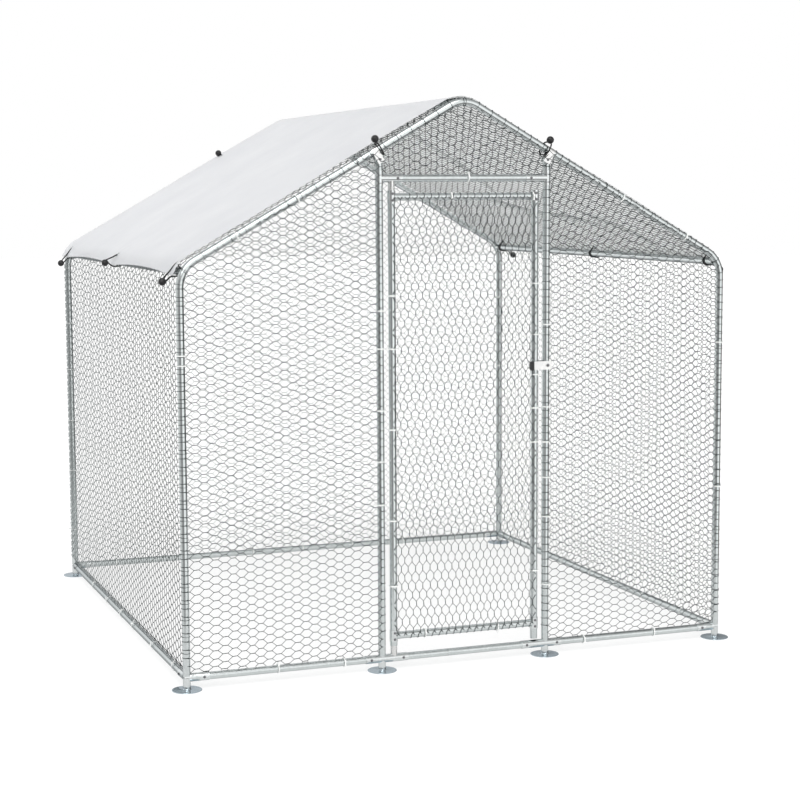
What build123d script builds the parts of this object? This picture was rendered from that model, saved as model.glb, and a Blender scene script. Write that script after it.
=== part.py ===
from build123d import *
import os
from math import ceil, cos, radians, sin, tan

# A walk-in run of zinc-plated tube under a gable roof, with netting on every wall and under the roof cover.
# X runs right along the front, Y towards the rear, Z up, in millimetres and degrees. The ground is Z = 0.

# Main frame
half_width = 987.5  # middle of the run to a corner post's axis, along X
half_depth = 987.5  # the same along Y
base_height = 42.0  # axis of the base tubes
eave_height = 1380.0  # where a post's axis and a rafter's axis cross
roof_slope = 29.5
bend_radius = 100.0  # on the tube's axis
bend_leg = 180.0  # from where the axes cross to the end of a bend's leg

# Tube and fittings
tube_diameter = 25.0
tube_bore = 23.4
tube_sides = 12  # the tubes and most fittings have this many flats, so that the many of them stay light
bore_sides = 6  # and the hidden bore of a bend has fewer
spigot_diameter = 23.2
bend_bore = 20.0
spigot_length = 50.0
spigot_root = 5.0  # how far a spigot is pressed into its bend
sleeve_diameter = 28.0
sleeve_bore = 25.2
sleeve_stop = 15.0  # solid middle of a connector, each side of its axis
tube_gap = 0.5  # between a tube's end and the stop in its sleeve
press_gap = 0.1  # between faces that are clamped or pressed together
cut_overrun = 1.0  # how far a cut runs past the face that it opens
corner_reach = 75.0
run_reach_out = 60.0
run_reach_in = 92.0
head_reach = 80.0
head_sleeve_length = 50.0

# Feet
foot_diameter = 100.0
foot_sides = 18
foot_thickness = 2.5
foot_boss_height = 12.0

# Doorway, door and latch
door_post_x = 305.0
stile_x = 262.0
head_height = 1670.0
post_top = 1741.0
top_rail_height = 1608.0
bottom_rail_height = 118.0
rail_sleeve_length = 40.0
hinge_stile_foot = 84.0
latch_stile_foot = 62.0
stile_top = 1630.0
hinge_pin_depth = 40.0  # how far a hinge pin goes into the stile
hinge_pin_diameter = 22.4  # clears the flats of the stile's bore as it turns
running_gap = 0.3
clamp_thickness = 1.4
clamp_width = 24.0
clamp_leg = 42.0
clamp_bolt_drop = 30.0
latch_height = 1026.0
latch_thickness = 2.5
latch_width = 30.0
latch_reach = 52.0  # pivot to the end of the bare bar
latch_tail = 16.0
latch_chamfer = 4.0
grip_length = 16.0
grip_thickness = 6.0
grip_width = 32.0
latch_bolt_diameter = 6.0
latch_bolt_head = 11.0
latch_nut_thickness = 5.0
latch_head_thickness = 4.0
latch_side_gap = 0.2  # round the bolt, and between the bar and the bolt's shoulder and head
latch_net_gap = 0.5  # between the bar and the net behind it
latch_notch = (26.4, 33.0)  # cut in the net round the latch's bolt

# Netting, roof cover and ties
net_thickness = 1.6
net_wire = 4.0
net_border = 11.0
net_overlap = 6.0  # how far a net reaches past a tube's axis
front_pitch = 225.0  # width of a gap and its wire
wall_pitch = 400.0
door_pitch = 205.0
net_gap = sleeve_diameter / 2 + press_gap  # tube axis to the near face of a net
net_over_bend = 20.0  # how far a side net goes on past the start of the eave bend
smallest_gap_area = 1500.0
cover_gap = 16.4
cover_thickness = 0.8
cover_edge_height = 1360.0
cover_front = -960.0
cover_rear = 1030.0
cover_scallop = 15.0  # how far the lower edge is drawn up between two ties
cover_skirt = 200.0  # what the lower edge is trimmed from
cover_trim_overrun = 10.0
ball_diameter = 26.0
ball_sides = 6
ball_rings = ((-1, 0.4), (-0.45, 0.95), (0.45, 0.95), (1, 0.4))  # height and radius, in ball radii
ball_out = 40.5  # eave post axis to ball centre
ball_seat = 14.6  # ball centre to what the ball rests against
cord_width = 5.0
cord_thickness = 3.0
cord_gap = 0.5  # between a loop and the eave tube in it
loop_sides = 8
loop_inner = 17.6  # rafter axis to the inside of the loop round it, clear of the nets and the cover
eyelet_gap = 0.6  # round a cord where it goes through the cover
eave_ball_heights = {-920.0: 1340.0, 0.0: 1370.0, 920.0: 1337.0}  # at each tie's place along Y
gable_tie_places = {"front": (-301.0, 302.0), "rear": (-310.0, 310.0)}  # along X

# Worked-out places
tube_radius = tube_diameter / 2
sleeve_radius = sleeve_diameter / 2
slope_cos = cos(radians(roof_slope))
slope_sin = sin(radians(roof_slope))
slope_tan = tan(radians(roof_slope))
ridge_height = eave_height + half_width * slope_tan
rafter_length = half_width / slope_cos
eave_turn = 90 - roof_slope
eave_tangent = bend_radius * tan(radians(eave_turn / 2))
apex_tangent = bend_radius * slope_tan
apex_axis_height = ridge_height - bend_radius * (1 / slope_cos - 1)
eave_inset = bend_radius * (1 / cos(radians(eave_turn / 2)) - 1)
eave_axis_x = half_width - eave_inset * cos(radians(eave_turn / 2))
eave_axis_height = eave_height - eave_inset * sin(radians(eave_turn / 2))
front = -half_depth
tube_end = sleeve_stop + tube_gap  # connector axis to the end of a tube in its sleeve
latch_bolt_hole = latch_bolt_diameter + 2 * latch_side_gap
sides = {"left": -1, "right": 1}
ends = {"front": -1, "rear": 1}


def rafter_height(x):
    return ridge_height - abs(x) * slope_tan


def keep(part, name):
    part.label = name
    export_step(part, f"parts/{name}.step")


def cross_plane(start, run):
    # The plane of a tube's section, turned so that two of the tube's edges face along Y or X.
    across = (1, 0, 0) if abs(run.Y) > run.length / 2 else (0, 1, 0)
    return Plane(origin=start, x_dir=across, z_dir=run)


def rod(start, end, diameter, turned=False):
    # A bar with the tubes' flats, or a truly round one where another piece turns on it.
    run = Vector(end) - Vector(start)
    with BuildPart() as bar:
        with BuildSketch(cross_plane(start, run)):
            if turned:
                Circle(diameter / 2)
            else:
                RegularPolygon(diameter / 2, tube_sides)
        extrude(amount=run.length)
    return bar.part


def straight_tube(start, end):
    run = Vector(end) - Vector(start)
    with BuildPart() as tube:
        with BuildSketch(cross_plane(start, run)):
            RegularPolygon(tube_radius, tube_sides)
            RegularPolygon(tube_bore / 2, tube_sides, mode=Mode.SUBTRACT)
        extrude(amount=run.length)
    return tube.part


def coped_post(x, y, top, arms):
    # A post whose foot is cut to sit over the round sleeves it stands on.
    with BuildPart() as post:
        add(straight_tube((x, y, base_height), (x, y, top)))
        for arm in arms:
            reach = Vector(arm) * sleeve_diameter
            middle = Vector(x, y, base_height)
            add(rod(middle - reach, middle + reach, sleeve_diameter), mode=Mode.SUBTRACT)
    return max(post.part.solids(), key=lambda solid: solid.volume)


def foot(x, y):
    with BuildPart() as disc:
        with BuildSketch():
            with Locations((x, y)):
                RegularPolygon(foot_diameter / 2, foot_sides)
        extrude(amount=foot_thickness)
        add(rod((x, y, foot_thickness), (x, y, foot_boss_height), tube_diameter))
    return disc.part


def corner_connector(side_x, side_y):
    # Two sleeves mitred at the corner, a spigot up into the post and a leg down to the foot.
    corner = Vector(side_x * half_width, side_y * half_depth, base_height)
    along_x = Vector(-side_x, 0, 0)
    along_y = Vector(0, -side_y, 0)
    with BuildPart() as connector:
        for arm, other in ((along_x, along_y), (along_y, along_x)):
            with BuildPart(mode=Mode.PRIVATE) as sleeve:
                add(rod(corner - arm * sleeve_diameter, corner + arm * corner_reach, sleeve_diameter))
                split(bisect_by=Plane(origin=corner, z_dir=arm - other), keep=Keep.TOP)
            add(sleeve.part)
        add(rod(corner, corner + Vector(0, 0, sleeve_radius + spigot_length), spigot_diameter))
        add(rod(corner, (corner.X, corner.Y, foot_boss_height), tube_diameter))
        for arm in (along_x, along_y):
            mouth = corner + arm * (corner_reach + cut_overrun)
            add(rod(corner + arm * sleeve_stop, mouth, sleeve_bore), mode=Mode.SUBTRACT)
    return connector.part


def door_base_connector(side_x):
    # A run of sleeve between two base tubes, with the door post's spigot above and the foot's leg below.
    middle = Vector(side_x * door_post_x, front, base_height)
    inward = Vector(-side_x, 0, 0)
    with BuildPart() as connector:
        add(rod(middle - inward * run_reach_out, middle + inward * run_reach_in, sleeve_diameter))
        add(rod(middle, middle + Vector(0, 0, sleeve_radius + spigot_length), spigot_diameter))
        add(rod(middle, (middle.X, middle.Y, foot_boss_height), tube_diameter))
        for arm, reach in ((inward, run_reach_in), (inward * -1, run_reach_out)):
            mouth = middle + arm * (reach + cut_overrun)
            add(rod(middle + arm * sleeve_stop, mouth, sleeve_bore), mode=Mode.SUBTRACT)
    return connector.part


def roof_bend(start, corner, end):
    # A bent tube with a spigot at each end and a stub at the middle of the bend for a tube along the run.
    with BuildPart() as bend:
        with BuildLine() as path:
            FilletPolyline(start, corner, end, radius=bend_radius)
        with BuildSketch(cross_plane(start, path.line % 0)):
            RegularPolygon(tube_radius, tube_sides)
            RegularPolygon(bend_bore / 2, bore_sides, mode=Mode.SUBTRACT)
        sweep(path=path.line)
        for place in (0, 1):
            tip = path.line @ place
            outward = (path.line % place) * (1 if place else -1)
            add(rod(tip - outward * spigot_root, tip + outward * spigot_length, spigot_diameter))
        middle = path.line @ 0.5
        along = Vector(0, -1 if middle.Y > 0 else 1, 0)
        root = middle + along * (bend_bore / 2 + cut_overrun)
        add(rod(root, middle + along * (tube_radius + spigot_length), spigot_diameter))
    return bend.part


def slope_point(side_x, y, distance):
    # A point on a rafter's axis, this far up from where it crosses the post's axis.
    x = side_x * (half_width - distance * slope_cos)
    return Vector(x, y, eave_height + distance * slope_sin)


def head_bracket(side_x):
    middle = Vector(side_x * door_post_x, front, head_height)
    inward = Vector(-side_x, 0, 0)
    half_sleeve = Vector(0, 0, head_sleeve_length / 2)
    with BuildPart() as bracket:
        add(rod(middle - half_sleeve, middle + half_sleeve, sleeve_diameter))
        add(rod(middle, middle + inward * head_reach, sleeve_diameter))
        mouth = middle + inward * (head_reach + cut_overrun)
        add(rod(middle + inward * sleeve_stop, mouth, sleeve_bore), mode=Mode.SUBTRACT)
        add(rod(middle - half_sleeve, middle + half_sleeve, sleeve_bore), mode=Mode.SUBTRACT)
    return bracket.part


def post_clamp(side_x):
    # A strap over the rafter whose two legs hold the top of the door post between them.
    up_slope = Vector(-side_x * slope_cos, 0, slope_sin)
    outward = Vector(side_x * slope_sin, 0, slope_cos)
    clamp_x = side_x * (door_post_x + clamp_bolt_drop * slope_sin)
    seat = Vector(clamp_x, front, rafter_height(clamp_x)) - up_slope * (clamp_width / 2)
    face = Plane(origin=seat, x_dir=outward, z_dir=up_slope)
    inner = tube_radius + press_gap
    with BuildPart() as clamp:
        with BuildSketch(face):
            RegularPolygon(inner + clamp_thickness, tube_sides)
            with Locations((-clamp_leg / 2, 0)):
                Rectangle(clamp_leg, 2 * (inner + clamp_thickness))
                Rectangle(clamp_leg, 2 * inner, mode=Mode.SUBTRACT)
            RegularPolygon(inner, tube_sides, mode=Mode.SUBTRACT)
        extrude(amount=clamp_width)
    return clamp.part


def hinge_pin(sleeve_height, tip_height):
    # A round pin seated over the sleeve that carries it.
    place = Vector(-stile_x, front, sleeve_height)
    half_run = Vector(sleeve_diameter, 0, 0)
    with BuildPart() as pin:
        add(rod(place, (place.X, place.Y, tip_height), hinge_pin_diameter, turned=True))
        add(rod(place - half_run, place + half_run, sleeve_diameter), mode=Mode.SUBTRACT)
    return pin.part


def door_rail(height):
    # A rail with a sleeve welded on each end, which slides over the stile.
    left = Vector(-stile_x, front, height)
    right = Vector(stile_x, front, height)
    half_sleeve = Vector(0, 0, rail_sleeve_length / 2)
    with BuildPart() as rail:
        add(rod(left, right, tube_diameter))
        for middle in (left, right):
            add(rod(middle - half_sleeve, middle + half_sleeve, sleeve_diameter))
        add(rod(left, right, tube_bore), mode=Mode.SUBTRACT)
        for middle in (left, right):
            add(rod(middle - half_sleeve, middle + half_sleeve, sleeve_bore), mode=Mode.SUBTRACT)
    return rail.part


def latch_plate(face, amount):
    # The latch's bar and its stop are one shape, on either side of the post and the stile.
    with BuildPart() as blank:
        with BuildSketch(face):
            with Locations((door_post_x + (latch_tail - latch_reach) / 2, latch_height)):
                plate = Rectangle(latch_tail + latch_reach, latch_width)
            chamfer(plate.vertices(), latch_chamfer)
            with Locations((door_post_x, latch_height)):
                Circle(latch_bolt_hole / 2, mode=Mode.SUBTRACT)
        extrude(amount=amount)
    return blank.part


def bolt_point(forward):
    # A point on the latch bolt's axis, this far in front of the run's middle.
    return (door_post_x, -forward, latch_height)


def upright_outline(half_length, low, high):
    return [(-half_length, low), (half_length, low), (half_length, high), (-half_length, high)]


def net_panel(face, outline, pitch, notch=None):
    # A flat net: one outline with six-sided gaps, each pitch wide between its flat sides.
    with BuildSketch() as whole:
        with BuildLine():
            Polyline(*outline, close=True)
        make_face()
        if notch:
            place, size = notch
            with Locations(place):
                Rectangle(*size, mode=Mode.SUBTRACT)
    box = whole.sketch.bounding_box()
    columns = ceil(box.size.X / (pitch * cos(radians(30)))) + 1
    rows = ceil(box.size.Y / pitch) + 1
    with BuildSketch() as gaps:
        with Locations(box.center()):
            with HexLocations(pitch / 2, columns, rows):
                RegularPolygon((pitch - net_wire) / 2, 6, major_radius=False)
        inside = offset(whole.sketch, -net_border, kind=Kind.INTERSECTION, mode=Mode.PRIVATE)
        add(inside, mode=Mode.INTERSECT)
    with BuildPart() as net:
        with BuildSketch(face):
            add(whole.sketch)
            for gap in gaps.sketch.faces():
                if gap.area > smallest_gap_area:
                    add(gap, mode=Mode.SUBTRACT)
        extrude(amount=net_thickness)
    return net.part


def cover_corners(gap):
    # The corners of the roof line, this far outside the tubes' axes.
    top = ridge_height + gap / slope_cos
    eave_x = half_width + gap
    eave_z = top - eave_x * slope_tan
    low = cover_edge_height - cover_skirt
    return ((-eave_x, low), (-eave_x, eave_z), (0, top), (eave_x, eave_z), (eave_x, low))


def eave_tie(side_x, y, gap=0):
    # A flat loop of cord round the eave tube, whose strands go out under the cover's edge, or through it, to
    # the ball. It is made this much thicker for the eyelets.
    eave = Vector(side_x * eave_axis_x, eave_axis_height)
    strand = Vector(side_x * (half_width + ball_out), eave_ball_heights[y]) - eave
    inner = tube_radius + cord_gap
    reach = strand.length - ball_seat
    width = cord_width + 2 * gap
    start = (eave.X, y + width / 2, eave.Y)
    with BuildPart() as tie:
        with BuildSketch(Plane(origin=start, x_dir=(strand.X, 0, strand.Y), z_dir=(0, -1, 0))):
            RegularPolygon(inner + cord_thickness, loop_sides, major_radius=False)
            with Locations((reach / 2, 0)):
                Rectangle(reach, 2 * (cord_thickness + gap))
            RegularPolygon(inner, loop_sides, major_radius=False, mode=Mode.SUBTRACT)
        extrude(amount=width)
    return tie.part


def gable_tie(x, end_y, gap=0):
    # A loop of cord round a rafter and whatever lies over it, made this much thicker for the eyelets.
    side_x = 1 if x > 0 else -1
    up_slope = Vector(-side_x * slope_cos, 0, slope_sin)
    outward = Vector(side_x * slope_sin, 0, slope_cos)
    middle = Vector(x, end_y * half_depth, rafter_height(x))
    width = cord_width + 2 * gap
    with BuildPart() as tie:
        with BuildSketch(Plane(origin=middle - up_slope * (width / 2), x_dir=outward, z_dir=up_slope)):
            outside = Rectangle(*[2 * (loop_inner + cord_thickness + gap)] * 2)
            chamfer(outside.vertices(), cord_thickness)
            Rectangle(*[2 * (loop_inner - gap)] * 2, mode=Mode.SUBTRACT)
        extrude(amount=width)
    return tie.part


def ball(middle):
    radius = ball_diameter / 2
    with BuildPart() as faceted:
        for height, width in ball_rings:
            with BuildSketch(Plane.XY.offset(middle[2] + height * radius)):
                with Locations((middle[0], middle[1])):
                    RegularPolygon(width * radius, ball_sides)
        loft(ruled=True)
    return faceted.part


os.makedirs("parts", exist_ok=True)

# Feet and base
foot_places = [(side * half_width, end * half_depth) for side in sides.values() for end in ends.values()]
foot_places += [(side * door_post_x, front) for side in sides.values()]
keep(Compound(children=[foot(x, y) for x, y in foot_places]), "feet")
keep(
    Compound(children=[corner_connector(side, end) for side in sides.values() for end in ends.values()]),
    "corner_connectors",
)
keep(Compound(children=[door_base_connector(side) for side in sides.values()]), "door_base_connectors")

for name, side in sides.items():
    outer_end = (side * (half_width - tube_end), front, base_height)
    inner_end = (side * (door_post_x + tube_end), front, base_height)
    keep(straight_tube(outer_end, inner_end), f"base_tube_front_{name}")
    near = (side * half_width, tube_end - half_depth, base_height)
    far = (side * half_width, half_depth - tube_end, base_height)
    keep(straight_tube(near, far), f"base_tube_{name}")
for name, y, half_run in (("sill", front, door_post_x), ("rear", half_depth, half_width)):
    reach = half_run - tube_end
    keep(straight_tube((-reach, y, base_height), (reach, y, base_height)), f"base_tube_{name}")

# Posts, roof bends and rafters
bends = []
for end_name, end in ends.items():
    y = end * half_depth
    for side_name, side in sides.items():
        post = coped_post(side * half_width, y, eave_height - bend_leg, ((1, 0, 0), (0, 1, 0)))
        keep(post, f"post_{end_name}_{side_name}")
        low = Vector(side * half_width, y, eave_height - bend_leg)
        bends.append(roof_bend(low, slope_point(side, y, 0), slope_point(side, y, bend_leg)))
        rafter_ends = [slope_point(side, y, place) for place in (bend_leg, rafter_length - bend_leg)]
        keep(straight_tube(*rafter_ends), f"rafter_{end_name}_{side_name}")
keep(Compound(children=bends), "eave_bends")

apex_bends = []
for end in ends.values():
    y = end * half_depth
    legs = [slope_point(side, y, rafter_length - bend_leg) for side in sides.values()]
    apex_bends.append(roof_bend(legs[0], Vector(0, y, ridge_height), legs[1]))
keep(Compound(children=apex_bends), "apex_bends")

long_reach = half_depth - tube_radius - tube_gap
keep(straight_tube((0, -long_reach, apex_axis_height), (0, long_reach, apex_axis_height)), "ridge_tube")
for name, side in sides.items():
    eave_ends = [(side * eave_axis_x, reach, eave_axis_height) for reach in (-long_reach, long_reach)]
    keep(straight_tube(*eave_ends), f"eave_tube_{name}")

# Doorway
latch_line = [(door_post_x, front + step * tube_diameter, latch_height) for step in (-1, 1)]
for name, side in sides.items():
    with BuildPart() as door_post:
        add(coped_post(side * door_post_x, front, post_top, ((1, 0, 0),)))
        if name == "right":
            add(rod(*latch_line, latch_bolt_hole), mode=Mode.SUBTRACT)
    keep(door_post.part, f"door_post_{name}")
keep(Compound(children=[head_bracket(side) for side in sides.values()]), "head_brackets")
head_bar_reach = door_post_x - tube_end
keep(straight_tube((-head_bar_reach, front, head_height), (head_bar_reach, front, head_height)), "head_bar")
keep(Compound(children=[post_clamp(side) for side in sides.values()]), "post_clamps")
lower_pin_tip = hinge_stile_foot + hinge_pin_depth
upper_pin_tip = stile_top - hinge_pin_depth
pins = [hinge_pin(base_height, lower_pin_tip), hinge_pin(head_height, upper_pin_tip)]
keep(Compound(children=pins), "hinge_pins")

# Door, which hangs with a plug inside its hinge stile resting on the lower pin
keep(straight_tube((-stile_x, front, hinge_stile_foot), (-stile_x, front, stile_top)), "door_hinge_stile")
keep(straight_tube((stile_x, front, latch_stile_foot), (stile_x, front, stile_top)), "door_latch_stile")
keep(door_rail(top_rail_height), "door_top_rail")
keep(door_rail(bottom_rail_height), "door_bottom_rail")
plug_foot = lower_pin_tip + running_gap
plug = rod((-stile_x, front, plug_foot), (-stile_x, front, plug_foot + tube_bore), tube_bore - press_gap)
keep(plug, "hinge_plug")

# Latch: a bar that turns on a bolt through the right door post, in front of the latch stile
bar_back = net_gap + net_thickness + latch_net_gap
bar_face = Plane.XZ.offset(half_depth + bar_back)
keep(latch_plate(bar_face, latch_thickness), "latch_bar")

with BuildPart() as latch_grip:
    with BuildSketch(bar_face):
        with Locations((door_post_x - latch_reach - grip_length / 2, latch_height)):
            pad = Rectangle(grip_length, grip_width)
        chamfer(pad.vertices(), latch_chamfer)
    extrude(amount=grip_thickness)
keep(latch_grip.part, "latch_grip")

stop_gap = tube_radius + running_gap
stop_face = Plane.XZ.offset(half_depth - stop_gap)
keep(latch_plate(stop_face, -latch_thickness), "latch_stop")

nut_back = half_depth - stop_gap - latch_thickness
shoulder_front = half_depth + bar_back - latch_side_gap
head_back = half_depth + bar_back + latch_thickness + latch_side_gap
bolt_end = nut_back - latch_nut_thickness
bolt_front = head_back + latch_head_thickness
with BuildPart() as latch_bolt:
    add(rod(bolt_point(bolt_end), bolt_point(bolt_front), latch_bolt_diameter, turned=True))
    for back, fore in ((bolt_end, nut_back), (half_depth + tube_radius, shoulder_front), (head_back, bolt_front)):
        add(rod(bolt_point(back), bolt_point(fore), latch_bolt_head))
keep(latch_bolt.part, "latch_bolt")

# Netting: local X runs along each panel and local Y up it
front_face = Plane.XZ.offset(half_depth + net_gap)
rear_face = Plane(origin=(0, half_depth + net_gap, 0), x_dir=(-1, 0, 0), z_dir=(0, 1, 0))
wall_edge = half_width + net_overlap
net_foot = base_height - net_overlap
bend_low = eave_height - eave_tangent
bend_in = half_width - eave_tangent * slope_cos
bend_high = eave_height + eave_tangent * slope_sin
apex_half = apex_tangent * slope_cos
apex_low = ridge_height - apex_tangent * slope_sin

for name, side in sides.items():
    door_edge = door_post_x - net_overlap
    outline = [
        (side * wall_edge, net_foot),
        (side * door_edge, net_foot),
        (side * door_edge, rafter_height(door_edge)),
        (side * bend_in, bend_high),
        (side * wall_edge, bend_low),
    ]
    notch = ((door_post_x, latch_height), latch_notch) if name == "right" else None
    keep(net_panel(front_face, outline, front_pitch, notch), f"net_front_{name}")

gable_edge = door_post_x - sleeve_radius - net_overlap
gable_outline = [
    (-gable_edge, head_height - net_overlap),
    (gable_edge, head_height - net_overlap),
    (gable_edge, rafter_height(gable_edge)),
    (apex_half, apex_low),
    (-apex_half, apex_low),
    (-gable_edge, rafter_height(gable_edge)),
]
keep(net_panel(front_face, gable_outline, door_pitch), "net_gable")

right_half = [(wall_edge, net_foot), (wall_edge, bend_low), (bend_in, bend_high), (apex_half, apex_low)]
left_half = [(-x, z) for x, z in reversed(right_half)]
keep(net_panel(rear_face, right_half + left_half, wall_pitch), "net_rear")

side_edge = half_depth + net_overlap
side_outline = upright_outline(side_edge, net_foot, bend_low + net_over_bend)
roof_outline = upright_outline(side_edge, eave_tangent, rafter_length - apex_tangent)
for name, side in sides.items():
    wall_face = Plane(origin=(side * (half_width + net_gap), 0, 0), x_dir=(0, side, 0), z_dir=(side, 0, 0))
    keep(net_panel(wall_face, side_outline, wall_pitch), f"net_{name}")
    outward = Vector(side * slope_sin, 0, slope_cos)
    roof_foot = slope_point(side, 0, 0) + outward * net_gap
    roof_face = Plane(origin=roof_foot, x_dir=(0, side, 0), z_dir=outward)
    keep(net_panel(roof_face, roof_outline, wall_pitch), f"net_roof_{name}")

# The door's net is turned a quarter, so its gaps stand on their points
door_face = Plane(origin=(0, front - net_gap, 0), x_dir=(0, 0, 1), z_dir=(0, -1, 0))
door_outline = [
    (bottom_rail_height - net_overlap, -stile_x - net_overlap),
    (top_rail_height + net_overlap, -stile_x - net_overlap),
    (top_rail_height + net_overlap, stile_x + net_overlap),
    (bottom_rail_height - net_overlap, stile_x + net_overlap),
]
keep(net_panel(door_face, door_outline, door_pitch), "door_net")

# Roof cover: one sheet over both slopes, its lower edges drawn up between the ties
outer_line = cover_corners(cover_gap + cover_thickness)
inner_line = cover_corners(cover_gap)
trim_front = cover_front - cover_trim_overrun
trim_rear = cover_rear + cover_trim_overrun
trim_low = cover_edge_height - 2 * cover_skirt
tie_points = [(y, cover_edge_height) for y in eave_ball_heights]
with BuildPart() as roof_cover:
    with BuildSketch(Plane.XZ.offset(-cover_rear)):
        with BuildLine():
            FilletPolyline(*outer_line, radius=bend_radius + cover_gap + cover_thickness)
            FilletPolyline(*inner_line, radius=bend_radius + cover_gap)
            Line(outer_line[0], inner_line[0])
            Line(outer_line[-1], inner_line[-1])
        make_face()
    extrude(amount=cover_rear - cover_front)
    with BuildSketch(Plane.YZ.offset(-2 * half_width)):
        with BuildLine():
            for start, end in zip(tie_points, tie_points[1:]):
                middle = ((start[0] + end[0]) / 2, cover_edge_height + cover_scallop)
                ThreePointArc(start, middle, end)
            Polyline(
                tie_points[-1],
                (trim_rear, cover_edge_height),
                (trim_rear, trim_low),
                (trim_front, trim_low),
                (trim_front, cover_edge_height),
                tie_points[0],
            )
        make_face()
    extrude(amount=4 * half_width, mode=Mode.SUBTRACT)
    for side in sides.values():
        for y in eave_ball_heights:
            add(eave_tie(side, y, eyelet_gap), mode=Mode.SUBTRACT)
    for x in gable_tie_places["rear"]:
        add(gable_tie(x, ends["rear"], eyelet_gap), mode=Mode.SUBTRACT)
keep(roof_cover.part, "roof_cover")

# Elastic ties with balls: three along each eave, and one round each rafter
balls = []
cords = []
for side in sides.values():
    for y, height in eave_ball_heights.items():
        cords.append(eave_tie(side, y))
        balls.append(ball((side * (half_width + ball_out), y, height)))
for end_name, places in gable_tie_places.items():
    for x in places:
        cords.append(gable_tie(x, ends[end_name]))
        rise = loop_inner + cord_thickness + ball_seat
        shift = rise * slope_sin * (1 if x > 0 else -1)
        balls.append(ball((x + shift, ends[end_name] * half_depth, rafter_height(x) + rise * slope_cos)))
keep(Compound(children=balls), "bungee_balls")
keep(Compound(children=cords), "bungee_cords")
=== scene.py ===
import math
import random

import bmesh
import bpy
import numpy as np
from mathutils import Matrix, Vector


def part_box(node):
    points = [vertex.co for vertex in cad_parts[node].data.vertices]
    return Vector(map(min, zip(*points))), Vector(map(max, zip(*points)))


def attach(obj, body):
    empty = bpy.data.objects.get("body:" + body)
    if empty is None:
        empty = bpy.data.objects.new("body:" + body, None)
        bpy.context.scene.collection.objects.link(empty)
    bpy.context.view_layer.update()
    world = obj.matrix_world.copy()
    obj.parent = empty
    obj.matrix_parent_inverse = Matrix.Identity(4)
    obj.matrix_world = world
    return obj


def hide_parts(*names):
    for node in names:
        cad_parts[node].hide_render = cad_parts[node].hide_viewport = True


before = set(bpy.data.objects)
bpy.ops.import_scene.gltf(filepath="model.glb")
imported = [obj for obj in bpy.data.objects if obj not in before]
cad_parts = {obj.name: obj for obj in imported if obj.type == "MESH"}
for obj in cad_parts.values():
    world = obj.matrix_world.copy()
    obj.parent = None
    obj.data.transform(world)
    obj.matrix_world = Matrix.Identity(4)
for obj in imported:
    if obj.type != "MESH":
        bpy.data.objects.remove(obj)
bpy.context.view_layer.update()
print("frame loaded with", len(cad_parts), "nodes")


def nodeMid(name):
    low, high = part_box(name)
    return (low + high) / 2


def nodeSize(name):
    low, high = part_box(name)
    return high - low


# where the frame's tubes run, in metres
halfWidth = nodeMid("post_front_right").x
halfDepth = nodeMid("post_rear_right").y
frontY = -halfDepth
baseZ = nodeMid("base_tube_rear").z
ridgeZ = nodeMid("ridge_tube").z
eaveX = nodeMid("eave_tube_right").x
eaveZ = nodeMid("eave_tube_right").z
doorPostX = nodeMid("door_post_right").x
stileX = nodeMid("door_latch_stile").x
headZ = nodeMid("head_bar").z
topRailZ = nodeMid("door_top_rail").z
bottomRailZ = nodeMid("door_bottom_rail").z
tubeRadius = nodeSize("eave_tube_right").z / 2
sleeveRadius = nodeSize("door_base_connectors").y / 2
footTop = 0.0025
bothSides = (-1, 1)
sideNames = {"left": -1, "right": 1}
endsY = {"front": frontY, "rear": halfDepth}
toRight, toBack, upright = Vector((1, 0, 0)), Vector((0, 1, 0)), Vector((0, 0, 1))
toFront = Vector((0, -1, 0))

roof = {"slope": math.radians(29.5), "bend": 0.1, "leg": 0.18}
slopeCos, slopeSin = math.cos(roof["slope"]), math.sin(roof["slope"])
eaveTurn = math.pi / 2 - roof["slope"]
eaveTangent = roof["bend"] * math.tan(eaveTurn / 2)
apexTangent = roof["bend"] * math.tan(roof["slope"])
ridgeCorner = ridgeZ + roof["bend"] * (1 / slopeCos - 1)  # where the two rafters' axes would cross
eaveCorner = ridgeCorner - halfWidth * math.tan(roof["slope"])
postRun = eaveCorner - eaveTangent - baseZ
slopeRun = halfWidth / slopeCos - eaveTangent - apexTangent


def profilePoint(side, along, lift, measuredAt):
    # a point on the line post, eave bend, slope, apex bend, lifted off the tubes' axes;
    # along starts at the base tube and is measured on the line that lies measuredAt outside the axes
    along = np.asarray(along, float)
    arcRadius = roof["bend"] + measuredAt
    upPost = np.minimum(along, postRun)
    eaveAngle = np.clip(along - postRun, 0, arcRadius * eaveTurn) / arcRadius
    beyond = along - postRun - arcRadius * eaveTurn
    upSlope = np.clip(beyond, 0, slopeRun)
    apexAngle = np.clip(beyond - slopeRun, 0, arcRadius * roof["slope"]) / arcRadius
    bend, turned = roof["bend"], eaveAngle + apexAngle
    x = halfWidth - bend + bend * np.cos(eaveAngle) - upSlope * slopeCos
    x = x + bend * (np.cos(eaveTurn + apexAngle) - math.cos(eaveTurn)) + lift * np.cos(turned)
    z = baseZ + upPost + bend * np.sin(eaveAngle) + upSlope * slopeSin
    z = z + bend * (np.sin(eaveTurn + apexAngle) - math.sin(eaveTurn)) + lift * np.sin(turned)
    return side * x, z


def profileLength(measuredAt):
    arcRadius = roof["bend"] + measuredAt
    return postRun + slopeRun + arcRadius * (eaveTurn + roof["slope"])


def rafterZ(x):
    return ridgeCorner - abs(x) * math.tan(roof["slope"])


# node trees: short ways to add nodes

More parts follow.
